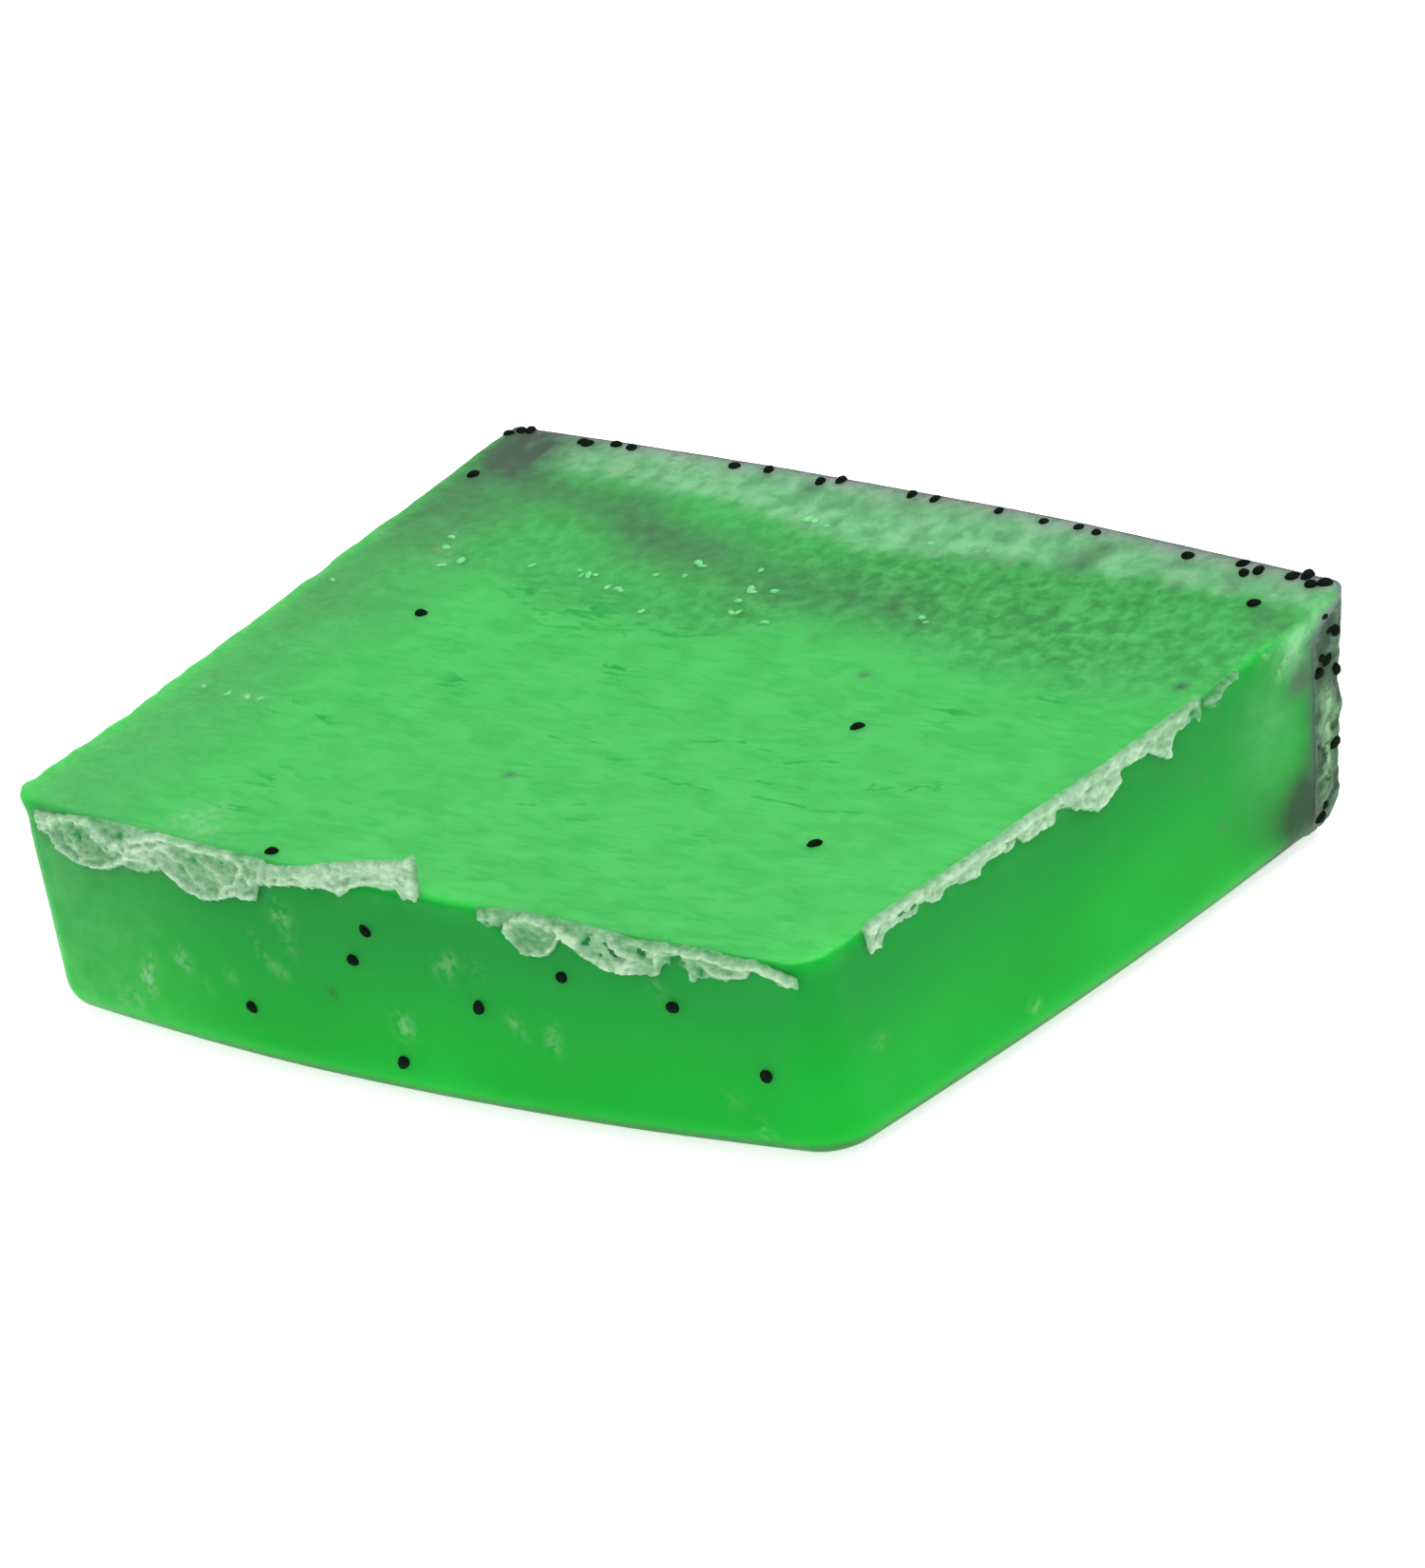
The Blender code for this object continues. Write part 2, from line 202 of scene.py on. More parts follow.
RIGHT_END_FILM = {
    "side": "right",
    "replaces": "edge_film_right_end",
    "lower": (
        (0.722, 0.955), (0.735, 0.925), (0.744, 0.915), (0.755, 0.945), (0.771, 0.975), (0.788, 0.978),
    ),
    "upper": ((0.722, 0.989), (0.746, 0.99), (0.765, 1.003), (0.788, 1.004)),
    "pale": ((0.72, 0.22), (0.79, 0.15)),
    "strands": ((((0.724, 0.975), (0.745, 0.965), (0.765, 0.99), (0.787, 0.993)), 0.2, 0.25, 0.35),),
    "thin": (),
}
FILMS = {
    "film_front_left": FRONT_LEFT_FILM,
    "film_front_centre": FRONT_CENTRE_FILM,
    "film_right": RIGHT_FILM,
    "film_right_end": RIGHT_END_FILM,
}
# The films' grid; in metres how far they stand out of the soap, the least of it, how deep they are sunk,
# how wide their edge thins out and how much a thin spot takes off; and the part of a strand's height that is
# built. Their edges are ragged by shares of the soap's thickness; the sizes of their unevenness are in metres.
FILM_STEP = 0.00017
FILM_ROWS, FILM_LAYERS = 22, 2
FILM_BASE = 0.00016
FILM_LEAST = 0.00003
FILM_SINK = 0.00020
FILM_TAPER = 0.00030
THIN_DEPTH = 0.00025
STRAND_RISE = 0.6
RAGGED_LOWER, RAGGED_UPPER, RAGGED_SIZE = 0.015, 0.006, 0.0006
CLOUD_SIZE, FLAKE_SIZE = (0.0011, 0.0007, 1), (0.0005, 0.0003, 1)

# Marks on the soap, each (first share, second share, radius in millimetres, strength).
# Dark clouds on the top, partly painted shade of the seeds and the rear band seen through the soap.
TOP_MURK_AND_SHADE = (
    (0.02, 0.975, 1.8, 0.9), (0.045, 0.955, 1.8, 0.8), (0.053, 0.92, 1.6, 0.5), (0.004, 0.94, 1.2, 0.6),
    (0.402, 0.965, 1.0, 0.6), (0.459, 0.945, 0.7, 0.35), (0.52, 0.962, 1.1, 0.5), (0.49, 0.955, 0.8, 0.4),
    (0.547, 0.945, 0.7, 0.35), (0.746, 0.94, 1.0, 0.6), (0.725, 0.93, 0.7, 0.4), (0.757, 0.958, 0.6, 0.8),
    (0.832, 0.955, 0.8, 0.45), (0.646, 0.94, 0.7, 0.3), (0.686, 0.955, 0.6, 0.3), (0.966, 0.9, 1.0, 0.55),
    (1.0, 0.897, 1.4, 0.6), (0.623, 0.769, 0.6, 0.45), (0.662, 0.751, 0.5, 0.4), (0.586, 0.679, 0.6, 0.3),
    (0.295, 0.962, 0.7, 0.35), (0.338, 0.96, 0.6, 0.3), (0.829, 0.602, 0.5, 0.25),
    (0.676, 0.629, 0.45, 0.75), (0.476, 0.279, 0.5, 0.7), (0.969, 0.737, 0.45, 0.9), (0.68, 0.9, 0.9, 0.35),
    (0.753, 0.915, 0.9, 0.45), (0.856, 0.924, 0.8, 0.45), (0.978, 0.864, 0.7, 0.45), (0.6, 0.93, 0.5, 0.3),
    (0.91, 0.935, 0.6, 0.4),
)
TOP_PALE = (
    (0.171, 0.943, 1.0, 0.5), (0.19, 0.935, 0.9, 0.5), (0.226, 0.973, 0.9, 0.8), (0.243, 0.95, 1.1, 0.5),
    (0.291, 0.942, 1.2, 0.5), (0.21, 0.925, 1.0, 0.45), (0.33, 0.925, 1.3, 0.4), (0.27, 0.925, 1.0, 0.4),
    (0.072, 0.975, 0.9, 0.6), (0.095, 0.955, 1.0, 0.45), (0.481, 0.965, 0.8, 0.35), (0.127, 0.93, 1.0, 0.3),
    (0.36, 0.915, 1.2, 0.35), (0.42, 0.905, 1.2, 0.4), (0.45, 0.884, 0.8, 0.4), (0.9, 0.93, 0.8, 0.3),
    (0.96, 0.945, 1.0, 0.35), (0.56, 0.915, 1.2, 0.25), (0.596, 0.888, 0.9, 0.3), (0.803, 0.922, 0.9, 0.3),
    (0.255, 0.04, 1.4, 0.45), (0.216, 0.047, 1.2, 0.45), (0.235, 0.075, 1.2, 0.25),
    (0.64, 0.912, 0.8, 0.35), (0.079, 0.304, 0.6, 0.35), (0.103, 0.308, 0.6, 0.4), (0.12, 0.312, 0.5, 0.35),
    (0.044, 0.305, 0.5, 0.25), (0.003, 0.589, 0.8, 0.6), (0.006, 0.5, 0.9, 0.5), (0.004, 0.43, 0.6, 0.45),
    (0.103, 0.69, 0.9, 0.45), (0.12, 0.665, 0.7, 0.4), (0.01, 0.7, 0.8, 0.4), (0.995, 0.72, 0.5, 0.5),
    (0.088, 0.735, 0.8, 0.45),
)

# The zones of the top. The front edges of the froth and of the darker mottled soap before it, as (share
# across, share back); the band of painted shade from the rear left corner, as (share across, share back,
# strength); and the painted shade along the left side, as (share back, strength).
FROTH_EDGE = (
    (0.0, 0.93), (0.08, 0.918), (0.17, 0.906), (0.25, 0.91), (0.35, 0.911), (0.4, 0.893), (0.45, 0.884),
    (0.54, 0.872), (0.6, 0.888), (0.68, 0.9), (0.75, 0.912), (0.8, 0.92), (0.93, 0.925), (1.0, 0.93),
)
MOTTLE_EDGE = (
    (0.0, 0.7), (0.11, 0.655), (0.19, 0.645), (0.28, 0.618), (0.44, 0.627), (0.49, 0.65), (0.53, 0.69),
    (0.59, 0.715), (0.65, 0.71), (0.75, 0.69), (0.86, 0.67), (0.92, 0.685), (1.0, 0.72),
)
SHADE_BAND = (
    (0.026, 0.956, 0.95), (0.053, 0.922, 0.95), (0.082, 0.883, 0.8), (0.119, 0.856, 0.62),
    (0.172, 0.861, 0.48), (0.228, 0.855, 0.62), (0.259, 0.84, 0.66), (0.312, 0.801, 0.7),
    (0.378, 0.8, 0.58), (0.415, 0.783, 0.42), (0.475, 0.771, 0.36), (0.575, 0.777, 0.32),
    (0.64, 0.765, 0.24),
)
SHADE_BAND_HALF_WIDTH = 0.0030
# How coarsely and finely the zones' edges wander, in metres, and by how large a share of the depth.
DRIFT_SIZE, GRAIN_SIZE = 0.006, 0.0014
DRIFT_SHARE, GRAIN_SHARE = 0.010, 0.012
LEFT_SHADE = (
    (0.0, 0.22), (0.2, 0.22), (0.35, 0.26), (0.45, 0.32), (0.54, 0.44), (0.62, 0.44), (0.72, 0.55),
    (0.82, 0.64), (0.87, 0.74), (0.92, 0.88), (1.0, 0.88),
)
# Where the top is scored by faint short dashes: (share across, share back, radius in millimetres, strength);
# and its deeper score lines, through (share across, share back).
TOP_DASHES = (
    (0.879, 0.424, 1.4, 0.6), (0.564, 0.432, 1.2, 0.6), (0.49, 0.299, 1.4, 0.7), (0.158, 0.306, 1.2, 0.6),
    (0.207, 0.292, 1.4, 0.8), (0.297, 0.434, 1.6, 0.8), (0.43, 0.543, 1.6, 0.7), (0.8, 0.589, 1.4, 0.8),
    (0.872, 0.647, 1.4, 0.8), (0.774, 0.721, 1.2, 0.7), (0.251, 0.164, 1.4, 0.7), (0.25, 0.088, 1.2, 0.7),
    (0.33, 0.64, 3.0, 0.7), (0.42, 0.63, 2.6, 0.6), (0.25, 0.66, 2.4, 0.6), (0.74, 0.25, 1.4, 0.5),
)
SCORE_LINES = (
    ((0.602, 0.34), (0.629, 0.335), (0.647, 0.331)), ((0.654, 0.334), (0.69, 0.329)),
    ((0.73, 0.338), (0.753, 0.337), (0.793, 0.335)), ((0.806, 0.332), (0.849, 0.347)),
    ((0.718, 0.418), (0.737, 0.436), (0.762, 0.442)), ((0.829, 0.398), (0.846, 0.412)),
    ((0.826, 0.393), (0.822, 0.415)), ((0.819, 0.446), (0.831, 0.444)), ((0.86, 0.405), (0.865, 0.422)),
    ((0.604, 0.425), (0.618, 0.429), (0.627, 0.436)), ((0.64, 0.44), (0.652, 0.444)),
    ((0.67, 0.437), (0.689, 0.438)), ((0.547, 0.352), (0.569, 0.361)), ((0.592, 0.213), (0.611, 0.219)),
    ((0.457, 0.377), (0.487, 0.369)), ((0.508, 0.379), (0.524, 0.382)), ((0.526, 0.224), (0.543, 0.228)),
    ((0.578, 0.247), (0.589, 0.251)), ((0.716, 0.369), (0.733, 0.369)), ((0.761, 0.371), (0.773, 0.372)),
    ((0.257, 0.623), (0.294, 0.611)), ((0.315, 0.628), (0.369, 0.617), (0.394, 0.628)),
    ((0.436, 0.622), (0.454, 0.626), (0.488, 0.648)),
)
SCORE_HALF_WIDTH = 0.00038

# Marks on the right side and the front: dark clouds, partly painted shade of the seeds and the joint seen
# through the soap; painted shade; froth; pale flecks, with a painted highlight along the edge by the crust;
# and scuffs.
RIGHT_MURK_AND_SHADE = (
    (0.912, 0.79, 1.0, 0.8), (0.895, 0.745, 0.9, 0.6), (0.925, 0.72, 0.8, 0.7), (0.697, 0.678, 0.6, 0.3),
    (0.733, 0.402, 0.6, 0.25), (0.529, 0.652, 0.6, 0.12), (0.93, 0.56, 0.45, 0.7), (0.93, 0.5, 0.45, 0.7),
    (0.93, 0.44, 0.45, 0.7), (0.93, 0.38, 0.45, 0.7), (0.928, 0.32, 0.5, 0.65), (0.93, 0.64, 0.5, 0.6),
    (0.925, 0.88, 0.5, 0.6), (0.93, 0.13, 0.6, 0.15), (0.928, 0.24, 0.5, 0.3),
)
RIGHT_SHADE = (
    (0.93, 0.11, 2.6, 0.9), (0.9, 0.19, 2.8, 0.65), (0.85, 0.25, 3.2, 0.42), (0.915, 0.33, 1.8, 0.5),
    (0.79, 0.4, 3.0, 0.18), (0.5, 0.93, 3.0, 0.12), (0.65, 0.9, 3.0, 0.12), (0.35, 0.35, 3.5, 0.1),
    (0.922, 0.45, 1.0, 0.4), (0.922, 0.56, 1.0, 0.35), (0.922, 0.64, 1.0, 0.3),
)
RIGHT_FROTH = (
    (0.93, 0.96, 1.6, 0.9), (0.97, 0.95, 1.5, 0.9), (0.89, 0.94, 1.6, 0.6), (0.9, 0.86, 1.4, 0.45),
    (0.85, 0.72, 3.2, 0.2), (0.83, 0.5, 3.0, 0.1), (0.99, 0.9, 1.2, 0.9), (0.995, 0.96, 1.2, 0.9),
)
# Pale flecks; the row running up by the crust is partly a painted highlight along that edge.
RIGHT_PALE_AND_HIGHLIGHT = (
    (0.863, 0.85, 0.45, 0.45), (0.87, 0.868, 0.45, 0.5), (0.88, 0.89, 0.45, 0.55),
    (0.892, 0.905, 0.5, 0.55), (0.903, 0.925, 0.5, 0.55), (0.912, 0.86, 0.45, 0.4), (0.9, 0.83, 0.45, 0.35),
    (0.831, 0.7, 2.0, 0.05), (0.35, 0.182, 0.5, 0.45), (0.087, 0.489, 0.5, 0.35), (0.845, 0.965, 0.4, 0.5),
    (0.87, 0.975, 0.4, 0.45),
)
FRONT_SHADE = ((0.431, 0.456, 0.40, 0.60), (0.020, 0.900, 1.2, 0.25))
FRONT_SCUFFS = (
    (0.172, 0.398, 0.6, 0.55), (0.165, 0.345, 0.7, 0.7), (0.162, 0.302, 0.7, 0.75),
    (0.168, 0.255, 0.6, 0.65), (0.155, 0.32, 0.5, 0.5), (0.22, 0.461, 0.6, 0.5), (0.228, 0.421, 0.6, 0.5),
    (0.215, 0.43, 0.4, 0.35), (0.118, 0.175, 0.7, 0.35), (0.14, 0.182, 0.8, 0.4), (0.13, 0.24, 1.2, 0.15),
    (0.369, 0.794, 0.7, 0.45), (0.377, 0.736, 0.8, 0.55), (0.372, 0.765, 0.6, 0.35),
    (0.334, 0.596, 0.45, 0.25), (0.341, 0.56, 0.45, 0.3), (0.351, 0.53, 0.45, 0.35),
    (0.36, 0.508, 0.45, 0.35), (0.369, 0.494, 0.45, 0.3), (0.33, 0.64, 0.4, 0.2), (0.519, 0.385, 0.8, 0.45),
    (0.518, 0.35, 0.7, 0.5), (0.577, 0.667, 0.7, 0.4), (0.591, 0.729, 0.5, 0.45), (0.584, 0.695, 0.5, 0.35),
    (0.656, 0.496, 0.5, 0.35), (0.66, 0.47, 0.5, 0.35), (0.666, 0.44, 0.5, 0.25), (0.704, 0.487, 0.6, 0.35),
    (0.702, 0.455, 0.5, 0.3), (0.701, 0.415, 0.6, 0.5), (0.918, 0.177, 0.5, 0.45), (0.924, 0.135, 0.5, 0.4),
    (0.127, 0.687, 0.4, 0.3), (0.291, 0.423, 0.5, 0.35), (0.119, 0.441, 0.5, 0.25),
    (0.381, 0.624, 0.8, 0.2), (0.619, 0.707, 0.8, 0.18), (0.829, 0.776, 0.6, 0.35),
    (0.892, 0.277, 0.8, 0.15), (0.1, 0.56, 0.8, 0.15), (0.185, 0.56, 0.6, 0.18), (0.145, 0.48, 0.5, 0.22),
    (0.255, 0.35, 0.6, 0.15),
)

# Small bubbles under the skin of the top that catch the light, as (share across, share back, radius in
# millimetres before growth).
BUBBLES = (
    (0.38, 0.776, 0.5), (0.388, 0.772, 0.34), (0.332, 0.692, 0.4), (0.338, 0.69, 0.32), (0.32, 0.691, 0.34),
    (0.285, 0.707, 0.4), (0.292, 0.71, 0.3), (0.278, 0.704, 0.28), (0.464, 0.747, 0.44),
    (0.47, 0.742, 0.32), (0.474, 0.694, 0.36), (0.48, 0.698, 0.28), (0.436, 0.903, 0.5),
    (0.445, 0.902, 0.42), (0.136, 0.678, 0.46), (0.103, 0.7, 0.4), (0.215, 0.701, 0.34),
    (0.45, 0.788, 0.34), (0.123, 0.66, 0.4), (0.352, 0.736, 0.3), (0.382, 0.746, 0.3), (0.466, 0.721, 0.36),
    (0.518, 0.689, 0.34), (0.489, 0.753, 0.36), (0.384, 0.659, 0.32), (0.27, 0.713, 0.3),
    (0.462, 0.899, 0.36), (0.585, 0.904, 0.36), (0.079, 0.304, 0.34), (0.103, 0.308, 0.38),
    (0.12, 0.312, 0.3), (0.044, 0.305, 0.3), (0.095, 0.722, 0.38), (0.661, 0.762, 0.34),
    (0.031, 0.577, 0.3), (0.67, 0.755, 0.26), (0.625, 0.913, 0.3), (0.648, 0.912, 0.3),
)
BUBBLE_GROWTH = 1.15
BUBBLE_FORM = (1.0, 0.7, 0.45)
BUBBLE_SINK = 0.15

# Seeds that lie inside the soap: (share across, share back, share up).
INNER_SEEDS = (
    (0.676, 0.629, 0.925), (0.476, 0.279, 0.915), (0.969, 0.737, 0.94), (0.431, 0.04, 0.455),
    (0.955, 0.735, 0.74), (0.95, 0.785, 0.56), (0.97, 0.69, 0.66),
)

# Seeds held in the crust: along the rear rim as (share across, share back), in its right end as
# (share back, share up), and how many more lie over its rear face and where it meets the soap.
RIM_SEEDS = (
    (0.008, 0.975), (0.028, 0.99), (0.11, 0.978), (0.424, 0.99), (0.905, 0.97), (0.962, 0.992),
    (0.985, 0.985),
)
END_SEEDS = (
    (0.958, 0.93), (0.966, 0.86), (0.952, 0.77), (0.962, 0.75), (0.945, 0.715), (0.958, 0.15),
    (0.948, 0.11),
)
REAR_FACE_SEEDS, JOINT_SEEDS = 46, 90
# The seeds' half sizes in metres and their bend, and how deep in metres they sit at the rim and on the rear
# face, in the end and behind the joint.
SEED_HALF_SIZES = (0.00062, 0.00048, 0.00045)
SEED_BEND = 0.18
RIM_SINK, END_SINK, JOINT_SINK = 0.00010, 0.00028, 0.0003
ALMOST_FULL_TURN = 6.28


def mix(start, end, share):
    return start + (end - start) * share


def smooth_step(start, end, values):
    share = np.clip((values - start) / (end - start), 0, 1)
    return share * share * (3 - 2 * share)


# ---------------------------------------------------------------- the slab's form


def plan_point(corners, bows, across, back):
    """The plan position at these shares (arrays), inside four corners whose joining sides bow out."""
    left_front, right_front, right_rear, left_rear = (np.array(c) for c in corners)
    across, back = np.asarray(across)[..., None], np.asarray(back)[..., None]
    front = mix(left_front, right_front, across)
    rear = mix(left_rear, right_rear, across)
    point = mix(front, rear, back)
    swell_x = 4 * back * (1 - back) * mix(-bows[3], bows[1], across)
    swell_y = 4 * across * (1 - across) * mix(-bows[0], bows[2], back)
    return point + np.concatenate([swell_x, swell_y], axis=-1)


def thickness_at(across, back):
    power = mix(RISE_POWER_LEFT, RISE_POWER_RIGHT, across)
    rise = mix(REAR_RISE_LEFT, REAR_RISE_RIGHT, across) * np.maximum(back, 0) ** power
    dish = 16 * DISH_DEPTH * across * (1 - across) * back * (1 - back)
    return FRONT_THICKNESS + rise - dish


def slab_points(shares):
    """Slab positions with sharp edges, from an (n, 3) array of shares across, back and up."""
    across, back, up = np.asarray(shares, float).T
    foot = plan_point(FOOT_CORNERS, FOOT_BOWS, across, back)
    plan = mix(foot, plan_point(TOP_CORNERS, TOP_BOWS, across, back), up[:, None])
    return np.column_stack([plan, thickness_at(across, back) * up])


def on_face(face, first, second):
    """Points of a face at two shares (arrays), and the directions out of the soap there."""
    def place(a, b):
        nought, one = np.zeros_like(a), np.ones_like(a)
        shares = {"front": (a, nought, b), "rear": (1 - a, one, b), "right": (one, a, b), "top": (a, b, one)}
        return slab_points(np.column_stack(shares[face]))

    step = 0.002
    first, second = np.asarray(first, float), np.asarray(second, float)
    point = place(first, second)
    outward = np.cross(place(first + step, second) - point, place(first, second + step) - point)
    return point, outward / np.linalg.norm(outward, axis=1)[:, None]


def turn_corner(first, second, radius):
    """Rounds a square corner of a grid, from each point's distances to the corner's two sides."""
    one, two = np.minimum(first - radius, 0), np.minimum(second - radius, 0)
    both = (one < 0) & (two < 0)
    square, circle = np.maximum(-one, -two), np.hypot(one, two)
    shrink = np.where(both, square / np.maximum(circle, 1e-9), 1)
    return np.where(both, radius + one * shrink, first), np.where(both, radius + two * shrink, second)


def round_edges(shares):
    """Moves shares on the faces of the block so that its edges and corners come out rounded."""
    x, y, z = shares[:, 0] * LENGTH, shares[:, 1] * DEPTH, shares[:, 2] * HEIGHT
    right, rear = x > LENGTH / 2, y > DEPTH / 2
    which = np.where(rear, np.where(right, 2, 3), np.where(right, 1, 0))
    corner = mix(np.array(FOOT_CORNER_RADII)[which], np.array(RIM_CORNER_RADII)[which], shares[:, 2])
    near_x, near_y = turn_corner(np.where(right, LENGTH - x, x), np.where(rear, DEPTH - y, y), corner)
    dx, dy = np.maximum(corner - near_x, 0), np.maximum(corner - near_y, 0)
    reach = np.hypot(dx, dy)
    in_corner = (dx > 0) & (dy > 0)
    inside = np.where(in_corner, corner - reach, np.minimum(near_x, near_y))
    along_x = np.where(in_corner, dx / np.maximum(reach, 1e-9), (near_x <= near_y).astype(float))
    along_y = np.where(in_corner, dy / np.maximum(reach, 1e-9), (near_x > near_y).astype(float))
    set_in, low = turn_corner(inside, z, FOOT_RADIUS)
    set_in, high = turn_corner(set_in, HEIGHT - low, RIM_RADIUS)
    near_x, near_y = near_x + along_x * (set_in - inside), near_y + along_y * (set_in - inside)
    x, y = np.where(right, LENGTH - near_x, near_x), np.where(rear, DEPTH - near_y, near_y)
    return np.column_stack([x / LENGTH, y / DEPTH, (HEIGHT - high) / HEIGHT])


# ---------------------------------------------------------------- meshes

SHARP_ANGLE = math.radians(50)


def block_mesh(name, cells, low=(0, 0, 0), high=(1, 1, 1)):
    """A closed box cut into a grid, and the shares of its vertices, between low and high."""
    grid = bmesh.new()
    bmesh.ops.create_cube(grid, size=1)
    for axis, count in enumerate(cells):
        along = [e for e in grid.edges if abs(e.verts[0].co[axis] - e.verts[1].co[axis]) > 0.5]
        if count > 1:
            bmesh.ops.subdivide_edges(grid, edges=along, cuts=count - 1, use_grid_fill=True)
    bmesh.ops.recalc_face_normals(grid, faces=grid.faces)
    mesh = bpy.data.meshes.new(name)
    grid.to_mesh(mesh)
    grid.free()
    shares = np.clip(read_points(mesh) + 0.5, 0, 1)
    return mesh, np.array(low) + shares * (np.array(high) - np.array(low))


def read_points(mesh):
    points = np.empty(len(mesh.vertices) * 3, np.float32)
    mesh.vertices.foreach_get("co", points)
    return points.reshape(-1, 3).astype(float)


def write_points(mesh, points):
    mesh.vertices.foreach_set("co", points.astype(np.float32).ravel())
    mesh.update()


def read_normals(mesh):
    normals = np.empty(len(mesh.vertices) * 3, np.float32)
    mesh.vertex_normals.foreach_get("vector", normals)
    return normals.reshape(-1, 3).astype(float)


def noise_at(points, size, seed=0.0, octaves=1):
    """Smooth noise from -1 to 1 at each point; size is one number, or one for each axis, in metres."""
    scaled = points / np.asarray(size, float) + seed
    if octaves == 1:
        return np.array([noise.noise(Vector(p)) for p in scaled])
    return np.array([noise.fractal(Vector(p), 0.9, 2.0, octaves) for p in scaled])


def paint(mesh, name, values):
    """Stores one number per vertex for the materials to read."""
    layer = mesh.attributes.new(name, "FLOAT", "POINT")
    layer.data.foreach_set("value", np.clip(values, 0, 1).astype(np.float32))


def add_piece(name, mesh, material, replaces=()):
    mesh.materials.append(material)
    mesh.shade_smooth()
    mesh.set_sharp_from_angle(angle=SHARP_ANGLE)
    piece = bpy.data.objects.new(name, mesh)
    bpy.context.scene.collection.objects.link(piece)
    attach(piece, "root")
    if replaces:
        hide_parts(*replaces)
    return piece


def blobs(points, face, marks):
    """The sum at each point of soft round marks on a face."""
    total = np.zeros(len(points))
    first, second, radius, strength = np.array(marks).T
    places, _ = on_face(face, first, second)
    for place, size, amount in zip(places, radius / 1000, strength):
        squared = ((points - place) ** 2).sum(axis=1)
        total += amount * np.exp(-squared / size ** 2)
    return total


# ---------------------------------------------------------------- materials


class Nodes:
    """Short calls for building a material's nodes."""

    def __init__(self, name):
        self.material = bpy.data.materials.new(name)
        self.material.use_nodes = True
        self.tree = self.material.node_tree
        self.shader = self.tree.nodes["Principled BSDF"]
        self.output = self.tree.nodes["Material Output"]
        self.place = self.node("ShaderNodeTexCoord").outputs["Object"]

    def node(self, kind, **values):
        made = self.tree.nodes.new(kind)
        for key, value in values.items():
            if hasattr(made, key):
                setattr(made, key, value)
            else:
                self.feed(made, key, value)
        return made

    def feed(self, made, key, value):
        socket = made.inputs[int(key[1:])] if key[0] == "_" else made.inputs[key.replace("_", " ")]
        if isinstance(value, bpy.types.NodeSocket):
            self.tree.links.new(value, socket)
        else:
            socket.default_value = value

    def set(self, **values):
        for key, value in values.items():
            self.feed(self.shader, key, value)

    def attribute(self, name):
        return self.node("ShaderNodeAttribute", attribute_name=name).outputs["Fac"]

    def noise(self, scale, detail=3.0, stretch=(1, 1, 1), distortion=0.0):
        place = self.node("ShaderNodeMapping", Vector=self.place, Scale=stretch).outputs["Vector"]
        made = self.node("ShaderNodeTexNoise", Vector=place, Scale=scale, Detail=detail)
        self.feed(made, "Distortion", distortion)
        return made.outputs["Fac"]

    def ramp(self, value, *stops):
        """A colour or number for each value, from (position, colour) stops."""
        made = self.node("ShaderNodeValToRGB", Fac=value)
        elements = made.color_ramp.elements
        while len(elements) < len(stops):
            elements.new(0.5)
        for element, (position, colour) in zip(elements, stops):
            element.position = position
            element.color = (*colour, 1) if isinstance(colour, tuple) else (colour, colour, colour, 1)
        return made.outputs["Color"]

    def blend(self, share, first, second):
        made = self.node("ShaderNodeMix", data_type="RGBA")
        for socket, value in ((made.inputs[0], share), (made.inputs[6], first), (made.inputs[7], second)):
            if isinstance(value, bpy.types.NodeSocket):
                self.tree.links.new(value, socket)
            elif isinstance(value, tuple):
                socket.default_value = (*value, 1)
            else:
                socket.default_value = value
        return made.outputs[2]

    def math(self, operation, first, second=0.0, clamp=False):
        made = self.node("ShaderNodeMath", operation=operation, use_clamp=clamp, _0=first, _1=second)
        return made.outputs[0]

    def bump(self, height, depth):
        return self.node("ShaderNodeBump", Height=height, Distance=depth, Strength=1.0).outputs["Normal"]

    def glow(self, weight, radius, scale):
        self.set(Subsurface_Weight=weight, Subsurface_Radius=radius, Subsurface_Scale=scale)


SIDE_GREENS = ((0.001, 0.42, 0.027), (0.002, 0.50, 0.035))
# Painted shade on the sides: darker towards the top, darkest at the foot, the upright and some patches.
UPPER_SHADE_GREEN = (0.001, 0.29, 0.032)
SHADE_GREEN = (0.014, 0.075, 0.020)
TOP_GREENS = ((0.064, 0.535, 0.104), (0.073, 0.570, 0.117), (0.082, 0.595, 0.130))
DASH_GREEN = (0.018, 0.40, 0.062)
# The mottled soap before the froth; its darker greens are partly painted shade.
MOTTLED_AND_SHADED_GREENS = ((0.038, 0.25, 0.064), (0.059, 0.37, 0.089), (0.098, 0.50, 0.138))
FROTHY_GREENS = ((0.118, 0.41, 0.160), (0.172, 0.54, 0.222), (0.255, 0.66, 0.305))
PALE_GREEN = (0.34, 0.64, 0.34)
